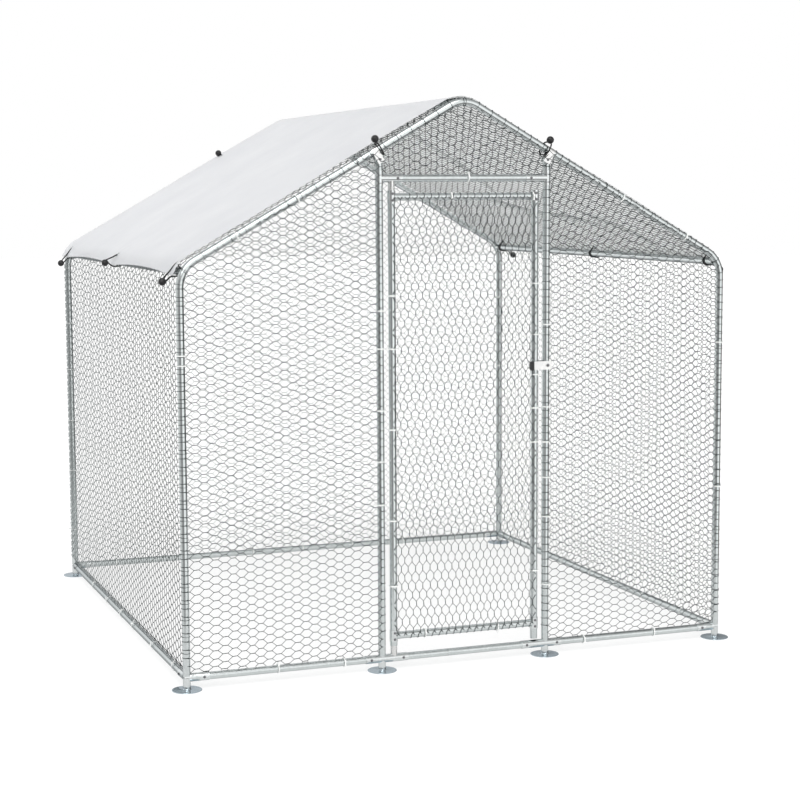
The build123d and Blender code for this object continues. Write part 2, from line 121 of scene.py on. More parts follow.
vectorSocket, colourSocket, valueSocket = "NodeSocketVector", "NodeSocketColor", "NodeSocketFloat"
geometrySocket, materialSocket, objectSocket = "NodeSocketGeometry", "NodeSocketMaterial", "NodeSocketObject"
numberSockets = {bool: "NodeSocketBool", int: "NodeSocketInt", float: valueSocket}
surfaceOutputs = {"Colour": colourSocket, "Roughness": valueSocket, "Height": valueSocket}


def newGroup(kind, name, inputs, outputs):
    # a tree with named sockets; an input that is given as a number starts at that number
    tree = bpy.data.node_groups.new(name, kind)
    for label, value in inputs.items():
        socketKind = numberSockets.get(type(value), value)
        socket = tree.interface.new_socket(label, in_out="INPUT", socket_type=socketKind)
        if socketKind != value:
            socket.default_value = value
    for label, socketKind in outputs.items():
        tree.interface.new_socket(label, in_out="OUTPUT", socket_type=socketKind)
    return tree, tree.nodes.new("NodeGroupInput").outputs


def setInputs(tree, node, values):
    # an input that is given a socket is linked to it, any other is set
    for key, value in values.items():
        if isinstance(value, bpy.types.NodeSocket):
            tree.links.new(value, node.inputs[key])
        else:
            node.inputs[key].default_value = value


def addNode(tree, kind, values=(), **settings):
    node = tree.nodes.new(kind)
    for key, value in settings.items():
        setattr(node, key, value)
    setInputs(tree, node, dict(values))
    return node


def blendColours(tree, share, first, second):
    return addNode(tree, "ShaderNodeMix", {0: share, 6: first, 7: second}, data_type="RGBA").outputs[2]


def rangeOf(tree, source, low, high, fromLow=0.0, fromHigh=1.0):
    limits = {0: source, 1: fromLow, 2: fromHigh, 3: low, 4: high}
    return addNode(tree, "ShaderNodeMapRange", limits).outputs[0]


def mathOf(tree, operation, first, second, clamp=False):
    node = addNode(tree, "ShaderNodeMath", {0: first, 1: second}, operation=operation, use_clamp=clamp)
    return node.outputs[0]


def noiseOf(tree, vector, scale, detail, roughness=0.5):
    looks = {"Vector": vector, "Scale": scale, "Detail": detail, "Roughness": roughness}
    return addNode(tree, "ShaderNodeTexNoise", looks).outputs


def partOf(tree, vector, axis):
    return addNode(tree, "ShaderNodeSeparateXYZ", {0: vector}).outputs[axis]


# shader groups

drySoil = (0.42, 0.38, 0.33, 1)


def makeZincGroup():
    # spangled plating: light and dark flakes, a cloudy tarnish and fine pitting
    group, given = newGroup("ShaderNodeTree", "zincPlating", {
        "Vector": vectorSocket, "Light": colourSocket, "Dark": colourSocket, "Flake Scale": 160.0,
        "Tarnish": 0.4, "Rough Low": 0.2, "Rough High": 0.4}, surfaceOutputs)
    flakePlace = {"Vector": given["Vector"], "Scale": given["Flake Scale"]}
    flakes = addNode(group, "ShaderNodeTexVoronoi", flakePlace).outputs["Color"]
    flakeTone = addNode(group, "ShaderNodeSeparateColor", {0: flakes}).outputs[0]
    clouds = noiseOf(group, given["Vector"], scale=14.0, detail=6.0, roughness=0.6)[0]
    cloudy = rangeOf(group, clouds, 0.0, 1.0, fromLow=0.38, fromHigh=0.68)
    tarnish = mathOf(group, "MULTIPLY", cloudy, given["Tarnish"])
    shade = mathOf(group, "ADD", tarnish, rangeOf(group, flakeTone, 0.0, 0.35), clamp=True)
    addNode(group, "NodeGroupOutput", {
        "Colour": blendColours(group, shade, given["Light"], given["Dark"]),
        "Roughness": rangeOf(group, cloudy, given["Rough Low"], given["Rough High"]),
        "Height": noiseOf(group, given["Vector"], scale=900.0, detail=2.0)[0]})
    return group


def makeDustGroup():
    # a film of dry soil that is strongest near the ground
    group, given = newGroup("ShaderNodeTree", "groundDust", {
        "Vector": vectorSocket, "Colour": colourSocket, "Reach": 0.15, "Amount": 0.3},
        {"Colour": colourSocket})
    fade = rangeOf(group, partOf(group, given["Vector"], "Z"), 1.0, 0.0, fromHigh=given["Reach"])
    specks = noiseOf(group, given["Vector"], scale=45.0, detail=8.0, roughness=0.7)[0]
    mask = mathOf(group, "MULTIPLY", fade, rangeOf(group, specks, 0.0, 1.0, fromLow=0.42, fromHigh=0.7))
    amount = mathOf(group, "MULTIPLY", mask, given["Amount"])
    addNode(group, "NodeGroupOutput", {"Colour": blendColours(group, amount, given["Colour"], drySoil)})
    return group


def makeGrainGroup():
    # moulded plastic and cord: a fine grain with soft lighter scuffs
    group, given = newGroup("ShaderNodeTree", "mouldGrain", {
        "Vector": vectorSocket, "Colour": colourSocket, "Scuff": colourSocket, "Grain Scale": 900.0,
        "Rough Low": 0.35, "Rough High": 0.6}, surfaceOutputs)
    grain = noiseOf(group, given["Vector"], given["Grain Scale"], detail=3.0)[0]
    scuffs = noiseOf(group, given["Vector"], scale=70.0, detail=5.0, roughness=0.65)[0]
    scuffMask = rangeOf(group, scuffs, 0.0, 0.8, fromLow=0.5, fromHigh=0.75)
    addNode(group, "NodeGroupOutput", {
        "Colour": blendColours(group, scuffMask, given["Colour"], given["Scuff"]),
        "Roughness": rangeOf(group, grain, given["Rough Low"], given["Rough High"]),
        "Height": grain})
    return group


def makeWeaveGroup():
    # coated tape weave: crossing threads and faint blotches
    group, given = newGroup("ShaderNodeTree", "tapeWeave", {
        "Vector": vectorSocket, "Colour": colourSocket, "Shade": colourSocket, "Threads": 330.0},
        surfaceOutputs)
    threads = {"Vector": given["Vector"], "Scale": given["Threads"], "Distortion": 0.4, "Detail": 1.0}
    waves = [addNode(group, "ShaderNodeTexWave", threads, bands_direction=direction).outputs[1]
             for direction in ("X", "Y")]
    weave = mathOf(group, "MULTIPLY", *waves)
    blotches = noiseOf(group, given["Vector"], scale=3.0, detail=5.0, roughness=0.6)[0]
    blotchy = rangeOf(group, blotches, 0.0, 0.55, fromLow=0.35, fromHigh=0.7)
    shade = mathOf(group, "ADD", blotchy, rangeOf(group, weave, 0.12, 0.0), clamp=True)
    addNode(group, "NodeGroupOutput", {
        "Colour": blendColours(group, shade, given["Colour"], given["Shade"]),
        "Roughness": rangeOf(group, blotches, 0.38, 0.58),
        "Height": weave})
    return group


zincGroup, dustGroup = makeZincGroup(), makeDustGroup()
grainGroup, weaveGroup = makeGrainGroup(), makeWeaveGroup()


# materials

zincLook = {"dustReach": 0.12, "edgeTint": (0.45, 0.46, 0.47, 1), "pits": (0.08, 0.0004)}
# the sheet's folds are darkened with painted shade, towards its shade colour times paintedFoldShade
sheetLook = {"paintedFoldShade": 0.2, "throughLight": 0.8, "throughReach": 0.004, "weave": (0.25, 0.0006)}


def newMaterial(name):
    material = bpy.data.materials.new(name)
    material.use_nodes = True
    return material, material.node_tree


def useGroup(tree, group, vector, values):
    return addNode(tree, "ShaderNodeGroup", {"Vector": vector, **values}, node_tree=group).outputs


def setSurface(tree, made, bump, values):
    # a group's roughness and height, and the material's own values; bump is (strength, depth)
    relief = {"Strength": bump[0], "Distance": bump[1], "Height": made["Height"]}
    normal = addNode(tree, "ShaderNodeBump", relief).outputs[0]
    shader = tree.nodes["Principled BSDF"]
    setInputs(tree, shader, {"Roughness": made["Roughness"], "Normal": normal, **values})


def zincMaterial(name, light, dark, flakeScale, tarnish, rough, dust=0.0, metallic=1.0, rear=None):
    material, tree = newMaterial(name)
    vector = addNode(tree, "ShaderNodeTexCoord").outputs["Object"]
    plating = useGroup(tree, zincGroup, vector, {
        "Light": (*light, 1), "Dark": (*dark, 1), "Flake Scale": flakeScale, "Tarnish": tarnish,
        "Rough Low": rough[0], "Rough High": rough[1]})
    soil = {"Colour": plating["Colour"], "Reach": zincLook["dustReach"], "Amount": dust}
    colour = useGroup(tree, dustGroup, vector, soil)["Colour"]
    if rear:  # painted light: the wires are painted paler towards the back of the run, where they look more lit
        share = rangeOf(tree, partOf(tree, vector, "Y"), 0.0, 1.0, fromLow=frontY, fromHigh=halfDepth)
        colour = blendColours(tree, share, colour, (*rear, 1))
    setSurface(tree, plating, zincLook["pits"], {
        "Base Color": colour, "Metallic": metallic, "Specular Tint": zincLook["edgeTint"]})
    return material


def grainMaterial(name, colour, scuff, grainScale, rough, bump):
    material, tree = newMaterial(name)
    vector = addNode(tree, "ShaderNodeTexCoord").outputs["Object"]
    grain = useGroup(tree, grainGroup, vector, {
        "Colour": (*colour, 1), "Scuff": (*scuff, 1), "Grain Scale": grainScale,
        "Rough Low": rough[0], "Rough High": rough[1]})
    setSurface(tree, grain, bump, {"Base Color": grain["Colour"]})
    return material


def sheetMaterial(name, colour, shade, foldShadeDepth):
    material, tree = newMaterial(name)
    vector = addNode(tree, "ShaderNodeTexCoord").outputs["UV"]
    weave = useGroup(tree, weaveGroup, vector, {"Colour": (*colour, 1), "Shade": (*shade, 1)})
    crease = addNode(tree, "ShaderNodeAttribute", attribute_name="crease")  # the cover's folds, from its mesh; painted shade along them
    foldShadeShare = rangeOf(tree, crease.outputs["Fac"], 0.0, foldShadeDepth)
    # painted shade: along the folds the sheet's colour is darkened towards a dark shade
    foldShadeColour = (*[part * sheetLook["paintedFoldShade"] for part in shade], 1)
    setSurface(tree, weave, sheetLook["weave"], {
        "Base Color": blendColours(tree, foldShadeShare, weave["Colour"], foldShadeColour),
        "Subsurface Weight": sheetLook["throughLight"],  # light comes through the sheet
        "Subsurface Radius": (1, 1, 1), "Subsurface Scale": sheetLook["throughReach"]})
    return material


# plated steel: light and dark flakes, flake scale, tarnish, range of roughness
tubeZinc = zincMaterial("tubeZinc", (0.75, 0.79, 0.79), (0.57, 0.61, 0.61), 170.0, 0.25, (0.16, 0.28),
                        dust=0.06)
fittingZinc = zincMaterial("fittingZinc", (0.82, 0.85, 0.85), (0.64, 0.67, 0.67), 220.0, 0.2, (0.14, 0.24),
                           dust=0.06)
footZinc = zincMaterial("footZinc", (0.7, 0.79, 0.85), (0.58, 0.67, 0.73), 90.0, 0.4, (0.03, 0.1),
                        metallic=0.9)
wireLook = ((0.04, 0.054, 0.054), (0.015, 0.022, 0.022), 300.0, 0.5, (0.4, 0.6))
# painted light: the wall nets' wires get a paler colour towards the back of the run
wireZinc = zincMaterial("wireZinc", *wireLook, metallic=0.7, rear=(0.3, 0.33, 0.33))
roofWireZinc = zincMaterial("roofWireZinc", *wireLook, metallic=0.7)
latchSteel = zincMaterial("latchSteel", (0.88, 0.88, 0.87), (0.66, 0.66, 0.66), 260.0, 0.2, (0.22, 0.36))
screwSteel = zincMaterial("screwSteel", (0.3, 0.3, 0.31), (0.12, 0.12, 0.13), 400.0, 0.5, (0.25, 0.45))
# plastic and cord: colour, scuffs, grain scale, range of roughness, bump
ballBlack = grainMaterial("ballBlack", (0.012, 0.012, 0.013), (0.05, 0.05, 0.052), 1100.0, (0.28, 0.5),
                          (0.15, 0.0003))
cordBlack = grainMaterial("cordBlack", (0.013, 0.013, 0.014), (0.06, 0.06, 0.062), 1500.0, (0.6, 0.85),
                          (0.6, 0.0008))
gripBlack = grainMaterial("gripBlack", (0.016, 0.016, 0.017), (0.06, 0.06, 0.06), 1300.0, (0.4, 0.65),
                          (0.3, 0.0004))
tieNylon = grainMaterial("tieNylon", (0.86, 0.87, 0.86), (0.74, 0.75, 0.74), 800.0, (0.3, 0.5), (0.1, 0.0002))
# cover: colour, shade, how dark the painted shade in its folds is
coverTop = sheetMaterial("coverTop", (0.6, 0.61, 0.635), (0.525, 0.535, 0.57), 0.08)
# the underside is painted much paler than the top: its own grey-green tone plus painted light standing in for
# light that comes through the sheet
coverUnder = sheetMaterial("coverUnder", (0.95, 1.0, 0.99), (0.86, 0.93, 0.92), 0.8)
print("materials ready:", len(bpy.data.materials))


# geometry trees

def endTree(tree, given, geometry):
    # every tree ends the same way: smooth faces, plain mesh, one finish
    shading = {"Geometry": geometry, "Shade Smooth": given["Smooth"]}
    smooth = addNode(tree, "GeometryNodeSetShadeSmooth", shading)
    realize = addNode(tree, "GeometryNodeRealizeInstances", {0: smooth.outputs[0]})
    finish = {"Geometry": realize.outputs[0], "Material": given["Finish"]}
    addNode(tree, "NodeGroupOutput", {0: addNode(tree, "GeometryNodeSetMaterial", finish).outputs[0]})


def makeSweepTree():
    # a round section carried along every chain of edges, with an optional bent-by-hand wobble
    tree, given = newGroup("GeometryNodeTree", "roundSweep", {
        "Geometry": geometrySocket, "Radius": 0.01, "Sides": 24, "Caps": False, "Wobble": 0.0,
        "Wobble Scale": 20.0, "Smooth": True, "Finish": materialSocket}, {"Geometry": geometrySocket})
    curve = addNode(tree, "GeometryNodeMeshToCurve", {0: given["Geometry"]})
    place = addNode(tree, "GeometryNodeInputPosition")
    noise = noiseOf(tree, place.outputs[0], given["Wobble Scale"], detail=1.0)["Color"]
    centred = addNode(tree, "ShaderNodeVectorMath", {0: noise, 1: (0.5, 0.5, 0.5)}, operation="SUBTRACT")
    wobble = {0: centred.outputs[0], "Scale": given["Wobble"]}
    offset = addNode(tree, "ShaderNodeVectorMath", wobble, operation="SCALE").outputs[0]
    moved = addNode(tree, "GeometryNodeSetPosition", {"Geometry": curve.outputs[0], "Offset": offset})
    circle = {"Resolution": given["Sides"], "Radius": given["Radius"]}
    section = addNode(tree, "GeometryNodeCurvePrimitiveCircle", circle)
    swept = addNode(tree, "GeometryNodeCurveToMesh", {
        "Curve": moved.outputs[0], "Profile Curve": section.outputs[0], "Fill Caps": given["Caps"]})
    endTree(tree, given, swept.outputs[0])
    return tree


def makeFixingTree():
    # one fixing set on every point, its Z along the point's "along" and its X along "outward"
    tree, given = newGroup("GeometryNodeTree", "fixingRow", {
        "Geometry": geometrySocket, "Fixing": objectSocket, "Smooth": True, "Finish": materialSocket},
        {"Geometry": geometrySocket})
    points = addNode(tree, "GeometryNodeMeshToPoints", {0: given["Geometry"]})
    unit = addNode(tree, "GeometryNodeObjectInfo", {0: given["Fixing"]})
    named = "GeometryNodeInputNamedAttribute"
    axes = {k: addNode(tree, named, {"Name": label}, data_type="FLOAT_VECTOR").outputs[0]
            for k, label in enumerate(("along", "outward"))}
    turned = addNode(tree, "FunctionNodeAxesToRotation", axes, primary_axis="Z", secondary_axis="X")
    placed = addNode(tree, "GeometryNodeInstanceOnPoints", {
        "Points": points.outputs[0], "Instance": unit.outputs["Geometry"], "Rotation": turned.outputs[0]})
    endTree(tree, given, placed.outputs[0])
    return tree


sweepTree, fixingTree = makeSweepTree(), makeFixingTree()


# making and joining pieces

def linkObject(name, data):
    made = bpy.data.objects.new(name, data)
    bpy.context.scene.collection.objects.link(made)
    return made


def setTree(made, tree, values):
    modifier = made.modifiers.new(tree.name, "NODES")
    modifier.node_group = tree
    for item in tree.interface.items_tree:
        if item.item_type == "SOCKET" and item.in_out == "INPUT" and item.name in values:
            modifier[item.identifier] = values[item.name]


def plainMesh(made, name):
    # the evaluated result as a new object with no modifiers
    bpy.context.view_layer.update()
    mesh = bpy.data.meshes.new_from_object(made.evaluated_get(bpy.context.evaluated_depsgraph_get()))
    old = made.data
    bpy.data.objects.remove(made)
    bpy.data.meshes.remove(old)
    mesh.name = name
    return linkObject(name, mesh)


def dress(made, body, slotName, *nodes):
    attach(made, body)
    if nodes:
        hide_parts(*nodes)


def shadeByAngle(made, degrees=35):
    for face in made.data.polygons:
        face.use_smooth = True
    made.data.set_sharp_from_angle(angle=math.radians(degrees))


def finished(name, mesh, finish):
    mesh.materials.append(finish)
    made = linkObject(name, mesh)
    shadeByAngle(made)
    return made


def newMesh(name, points, edges=(), faces=()):
    mesh = bpy.data.meshes.new(name)
    mesh.from_pydata([tuple(point) for point in points], list(edges), list(faces))
    return mesh


def meshFrom(name, shape):
    mesh = bpy.data.meshes.new(name)
    shape.to_mesh(mesh)
    shape.free()
    return mesh


def sweepPiece(name, chains, radius, sides, finish, wall=0.0, caps=False, wobble=0.0, wobbleScale=20.0):
    # chains are lists of points; an open tube has a wall
    points, edges = [], []
    for chain in chains:
        first = len(points)
        points.extend(chain)
        edges.extend((first + k, first + k + 1) for k in range(len(chain) - 1))
    made = linkObject(name + "Path", newMesh(name, points, edges))
    setTree(made, sweepTree, {"Radius": radius, "Sides": sides, "Caps": caps, "Wobble": wobble,
                              "Wobble Scale": wobbleScale, "Smooth": True, "Finish": finish})
    if not wall:
        return plainMesh(made, name)
    thick = made.modifiers.new("wall", "SOLIDIFY")
    thick.thickness, thick.offset, thick.use_even_offset = wall, -1, False
    done = plainMesh(made, name)
    shadeByAngle(done)
    return done


def fixingPiece(name, unitMesh, spots, finish, smooth=True):
    # spots are (place, along, outward)
    mesh = newMesh(name, [spot[0] for spot in spots])
    for label, index in (("along", 1), ("outward", 2)):
        data = mesh.attributes.new(label, "FLOAT_VECTOR", "POINT").data
        data.foreach_set("vector", np.array([tuple(spot[index]) for spot in spots], float).ravel())
    unit = linkObject(name + "Unit", unitMesh)
    made = linkObject(name + "Spots", mesh)
    setTree(made, fixingTree, {"Fixing": unit, "Smooth": smooth, "Finish": finish})
    done = plainMesh(made, name)
    bpy.data.objects.remove(unit)
    return done


def joinObjects(name, parts):
    # several made objects as one mesh
    whole = bmesh.new()
    finishes = []
    for part in parts:
        before = len(whole.faces)
        whole.from_mesh(part.data)
        whole.faces.ensure_lookup_table()
        for material in part.data.materials:
            if material not in finishes:
                finishes.append(material)
        indexes = [finishes.index(material) for material in part.data.materials]
        for face in whole.faces[before:]:
            face.material_index = indexes[face.material_index]
    mesh = meshFrom(name, whole)
    for material in finishes:
        mesh.materials.append(material)
    for part in parts:
        bpy.data.objects.remove(part)
    return linkObject(name, mesh)


def latheMesh(name, outline, steps=24):
    # turns a (radius, height) outline round Z
    shape = bmesh.new()
    points = [shape.verts.new((radius, 0, height)) for radius, height in outline]
    edges = [shape.edges.new(pair) for pair in zip(points, points[1:])]
    bmesh.ops.spin(shape, geom=points + edges, cent=(0, 0, 0), axis=(0, 0, 1), angle=2 * math.pi, steps=steps)
    bmesh.ops.remove_doubles(shape, verts=shape.verts, dist=1e-6)
    bmesh.ops.recalc_face_normals(shape, faces=shape.faces)
    return meshFrom(name, shape)


def plateMesh(name, outline, thickness, edge=0.0004, sharpFrom=0.9):
    # a flat outline in XY, thickened along Z, with its sharper edges eased
    shape = bmesh.new()
    face = shape.faces.new([shape.verts.new((x, y, 0)) for x, y in outline])
    raised = bmesh.ops.extrude_face_region(shape, geom=[face])["geom"]
    top = [part for part in raised if isinstance(part, bmesh.types.BMVert)]
    bmesh.ops.translate(shape, verts=top, vec=(0, 0, thickness))
    bmesh.ops.recalc_face_normals(shape, faces=shape.faces)
    sharp = [line for line in shape.edges if len(line.link_faces) == 2 and line.calc_face_angle() > sharpFrom]
    bmesh.ops.bevel(shape, geom=sharp, offset=edge, segments=2, affect="EDGES")
    return meshFrom(name, shape)


def roundedRectangle(width, height, radius, steps=5):
    points = []
    for k, (sx, sy) in enumerate(((1, 1), (-1, 1), (-1, -1), (1, -1))):
        for step in range(steps + 1):
            angle = math.pi / 2 * (k + step / steps)
            points.append((sx * (width / 2 - radius) + radius * math.cos(angle),
                           sy * (height / 2 - radius) + radius * math.sin(angle)))
    return points


def setFrame(mesh, place, along, outward):
    # moves a mesh so that its Z lies along and its X outward
    z = Vector(along).normalized()
    x = (Vector(outward) - z * Vector(outward).dot(z)).normalized()
    turn = Matrix((x, z.cross(x), z)).transposed().to_4x4()
    mesh.transform(Matrix.Translation(Vector(place)) @ turn)
    return mesh


# tubes, read from the frame's own boxes

tubing = {"sides": 32, "wall": 0.0008, "sleeveWall": 0.0014, "hidden": 0.006, "eaveSteps": 42,
          "apexSteps": 28}


def straightPath(node):
    low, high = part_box(node)
    size, mid = high - low, (low + high) / 2
    axis = max(range(3), key=lambda k: size[k])
    start, end = mid.copy(), mid.copy()
    start[axis], end[axis] = low[axis], high[axis]
    return [start, end]


def postPath(node):
    # a post starts out of sight, inside the sleeve that it stands on
    start, end = straightPath(node)
    start.z = baseZ + tubing["hidden"]
    return [start, end]


def profilePath(side, y, low, high, steps):
    xs, zs = profilePoint(side, np.linspace(low, high, steps), 0.0, 0.0)
    return [Vector((x, y, z)) for x, z in zip(xs, zs)]


def tubePiece(node, *chains, body="frame"):
    made = sweepPiece(node + "_round", chains, tubeRadius, tubing["sides"], tubeZinc, tubing["wall"])
    dress(made, body, "zinc_tube", node)


eaveLow = postRun + eaveTangent - roof["leg"]  # lower end of an eave bend, measured up the post
eaveHigh = postRun + roof["bend"] * eaveTurn + roof["leg"] - eaveTangent
apexLow = profileLength(0) - roof["bend"] * roof["slope"] - (roof["leg"] - apexTangent)

for node in ("base_tube_front_left", "base_tube_front_right", "base_tube_left", "base_tube_right",
             "base_tube_sill", "base_tube_rear", "ridge_tube", "eave_tube_left", "eave_tube_right",
             "head_bar"):
    tubePiece(node, straightPath(node))
for node in ("post_front_left", "post_front_right", "post_rear_left", "post_rear_right", "door_post_left",
             "door_post_right"):
    tubePiece(node, postPath(node))
for endName, y in endsY.items():
    for sideName, side in sideNames.items():
        tubePiece(f"rafter_{endName}_{sideName}", profilePath(side, y, eaveHigh, apexLow, 2))
tubePiece("eave_bends", *[profilePath(side, y, eaveLow, eaveHigh, tubing["eaveSteps"])
                          for side in bothSides for y in endsY.values()])
apexPaths = []
for y in endsY.values():
    halves = [profilePath(side, y, apexLow, profileLength(0), tubing["apexSteps"]) for side in bothSides]
    apexPaths.append(halves[0] + halves[1][-2::-1])
tubePiece("apex_bends", *apexPaths)
for node in ("door_hinge_stile", "door_latch_stile"):
    tubePiece(node, straightPath(node), body="door")
print("tubes made")


# connectors: sleeves that the tubes slide into, with a leg down to each foot

connector = {"cornerReach": 0.075, "runOut": 0.060, "runIn": 0.092, "headReach": 0.080, "headSleeve": 0.050,
             "railSleeve": 0.040, "pinRadius": 0.0112, "pinIn": 0.02, "pinGap": 0.0005, "plugPlay": 0.0001,
             "plugSides": 24}


def joinedTubes(node, body, slotName, *groups):
    # groups are (chains, radius, wall, finish)
    parts = [sweepPiece(f"{node}Part{k}", chains, radius, tubing["sides"], finish, wall)
             for k, (chains, radius, wall, finish) in enumerate(groups)]
    dress(joinObjects(node + "_round", parts), body, slotName, node)


def sleeves(chains):
    return chains, sleeveRadius, tubing["sleeveWall"], fittingZinc


def legs(places):
    lines = [[place, Vector((place.x, place.y, footTop))] for place in places]
    return lines, tubeRadius, tubing["wall"], fittingZinc


def throughSleeve(middle, length):
    rise = upright * (length / 2)
    return [middle - rise, middle + rise]


corners, cornerSleeves = [], []
for side in bothSides:
    for end in bothSides:
        corner = Vector((side * halfWidth, end * halfDepth, baseZ))
        reach = connector["cornerReach"]
        corners.append(corner)
        cornerSleeves.append([corner - toRight * (side * reach), corner, corner - toBack * (end * reach)])
joinedTubes("corner_connectors", "frame", "zinc_fitting", sleeves(cornerSleeves), legs(corners))

postFeet = [Vector((side * doorPostX, frontY, baseZ)) for side in bothSides]
runSleeves = []
for side, middle in zip(bothSides, postFeet):
    runSleeves.append([middle + toRight * (side * connector["runOut"]),
                       middle - toRight * (side * connector["runIn"])])
joinedTubes("door_base_connectors", "frame", "zinc_fitting", sleeves(runSleeves), legs(postFeet))

headSleeves = []
for side in bothSides:
    middle = Vector((side * doorPostX, frontY, headZ))
    headSleeves.append(throughSleeve(middle, connector["headSleeve"]))
    headSleeves.append([middle, middle - toRight * (side * connector["headReach"])])
joinedTubes("head_brackets", "frame", "zinc_fitting", sleeves(headSleeves))

for node, height in (("door_top_rail", topRailZ), ("door_bottom_rail", bottomRailZ)):
    ends = [Vector((side * stileX, frontY, height)) for side in bothSides]
    railEnds = [throughSleeve(end, connector["railSleeve"]) for end in ends]
    joinedTubes(node, "door", "zinc_tube", ([ends], tubeRadius, tubing["wall"], tubeZinc), sleeves(railEnds))


def hingeLine(low, high):
    return [Vector((-stileX, frontY, z)) for z in (low, high)]


stileLow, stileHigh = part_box("door_hinge_stile")
# the upper pin ends above the top rail
upperPinEnd = max(stileHigh.z - connector["pinIn"], topRailZ + tubeRadius + connector["pinGap"])
pinLines = [hingeLine(baseZ, stileLow.z + connector["pinIn"]), hingeLine(upperPinEnd, headZ)]
joinedTubes("hinge_pins", "frame", "zinc_fitting",
            (pinLines, connector["pinRadius"], tubing["sleeveWall"], latchSteel))
plugLow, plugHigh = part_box("hinge_plug")
plugRadius = tubeRadius - tubing["wall"] - connector["plugPlay"]
plug = sweepPiece("hinge_plug_round", [hingeLine(plugLow.z, plugHigh.z)], plugRadius, connector["plugSides"],
                  gripBlack, caps=True)
dress(plug, "door", "black_plastic", "hinge_plug")
print("connectors made")


# feet: thin plated discs with a welded stub

foot = {"radius": 0.05, "edge": 0.0007, "steps": 56, "smoothTo": 30,
        "dish": (0.75, 0.0003),  # share of the radius, and how far the disc rises there
        "fillet": ((0.004, 0.0004), (0.0016, 0.0012), (0.0, 0.0035)),  # out from the stub, up from the disc
        "welds": 5, "weldTurn": 0.35, "weldOut": 0.0012, "weldSteps": 8,
        "weldBead": ((0, 0.0012), (0.0016, 0.001), (0.0028, 0))}


def footUnit():
    radius, edge = foot["radius"], foot["edge"]
    outline = [(0, 0), (radius - edge, 0), (radius, edge), (radius, footTop - edge), (radius - edge, footTop),
               (foot["dish"][0] * radius, footTop + foot["dish"][1])]
    outline += [(tubeRadius + out, footTop + up) for out, up in foot["fillet"]]
    return latheMesh("footUnit", outline + [(0, outline[-1][1])], foot["steps"])


footPlaces = [Vector((side * halfWidth, y, 0)) for side in bothSides for y in endsY.values()]
footPlaces += [Vector((side * doorPostX, frontY, 0)) for side in bothSides]
feet = fixingPiece("feet_discs", footUnit(), [(place, upright, toRight) for place in footPlaces], footZinc)
shadeByAngle(feet, foot["smoothTo"])
dress(feet, "frame", "zinc_fitting", "feet")
weldSpots = []
for place in footPlaces:
    for k in range(foot["welds"]):
        angle = 2 * math.pi * (k + foot["weldTurn"]) / foot["welds"]
        outward = Vector((math.cos(angle), math.sin(angle), 0))
        spot = place + upright * (footTop + foot["weldOut"]) + outward * (tubeRadius + foot["weldOut"])
        weldSpots.append((spot, outward + upright, upright))
weldUnit = latheMesh("weldUnit", foot["weldBead"], foot["weldSteps"])
dress(fixingPiece("foot_welds", weldUnit, weldSpots, screwSteel), "frame", "zinc_fitting")
print("feet made")


# netting: every wire is one long zigzag that twists with its neighbours above and below

net = {"wireRadius": 0.0011, "wireSides": 3, "twistRadius": 0.0006, "twistSteps": 3,
       "rowPitch": 0.01375, "halfRepeat": 0.031, "twist": 0.017, "shortest": 0.006, "doorRows": 40,
       "wobble": 0.003, "wobbleScale": 40.0,
       # how far it stands off the tubes' axes; on top of a tube it starts this far up and leans out
       "lift": 0.0149, "above": 0.014, "leanRun": 0.035,
       # wire ends carried round the tubes, one row in so many
       "wrapWire": 0.0008, "wrapRadius": 0.0136, "wrapTurn": 250.0, "wrapSteps": 9, "wrapDrift": 0.003,
       "firstWrap": 4, "wrapEvery": 2, "sideWrapEvery": 4, "slopeWrapEvery": 8,
       # slow waves that pull the gaps out of line, by their lengths
       "strayLengths": (0.5, 0.3, 0.18, 0.11, 0.07), "stray": 0.0045, "strayPower": 0.75, "strayEdge": 0.04,
       # pressed back this far where the latch turns
       "latchPress": 0.0032, "latchFade": 0.02,
       # the front's rows rise to the right, and its right half is woven closer
       "frontRise": 0.045, "closer": {"left": 1.0, "right": 0.955},
       # half width of the cut-off corner under the apex, and where on the rafter its height is taken
       "apexHalf": 0.05, "apexAt": 0.07,
       # how far the side nets' outlines go past the eave, and the roof nets' start before their first row
       "pastEave": 0.05, "beforeRoof": 0.03}
dice = random.Random(7)
frontAxes, doorAxes = (0, 1), (1, 0)  # which of the nets' own directions are the run's X and Z
boltMid = nodeMid("latch_bolt")
latchReach = math.hypot(boltMid.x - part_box("latch_grip")[0].x, nodeSize("latch_grip").z / 2)


def wirePoints(row, uLow, uHigh, pitch, halfRepeat, twist):
    # one wire as (u, v, w) rows: u along it, v across the net, w out of the net
    steps = np.linspace(0, 1, net["twistSteps"] + 1)
    first = math.floor(uLow / halfRepeat) - 1
    last = math.ceil(uHigh / halfRepeat) + 1
    blocks = []
    for k in range(first, last + 1):
        toward = 1 if (k + row) % 2 == 0 else -1  # twists with the wire above here, else with the one below
        angle = -toward * math.pi / 2 + 2 * math.pi * steps
        v = (row + 0.5 * toward) * pitch + net["twistRadius"] * np.sin(angle)
        blocks.append(np.stack([k * halfRepeat + twist * steps, v, net["twistRadius"] * np.cos(angle)], 1))
    return np.concatenate(blocks)


def outlineReach(points, outline):
    # how far each point is outside each edge of a convex outline, and the edges' outward directions
    corners = np.array(outline)
    runs = np.roll(corners, -1, 0) - corners
    normals = np.stack([runs[:, 1], -runs[:, 0]], 1)
    normals /= np.linalg.norm(normals, axis=1)[:, None]
    return points[:, :2] @ normals.T - (corners * normals).sum(1), normals


def strayWaves():
    waves = []
    for length in net["strayLengths"]:
        heading = dice.uniform(0, math.pi)
        pull = dice.uniform(0, 2 * math.pi)
        size = net["stray"] * length ** net["strayPower"]
        waves.append((2 * math.pi / length * np.array([math.cos(heading), math.sin(heading)]),
                      dice.uniform(0, 2 * math.pi), size * np.array([math.cos(pull), math.sin(pull)])))
    return waves


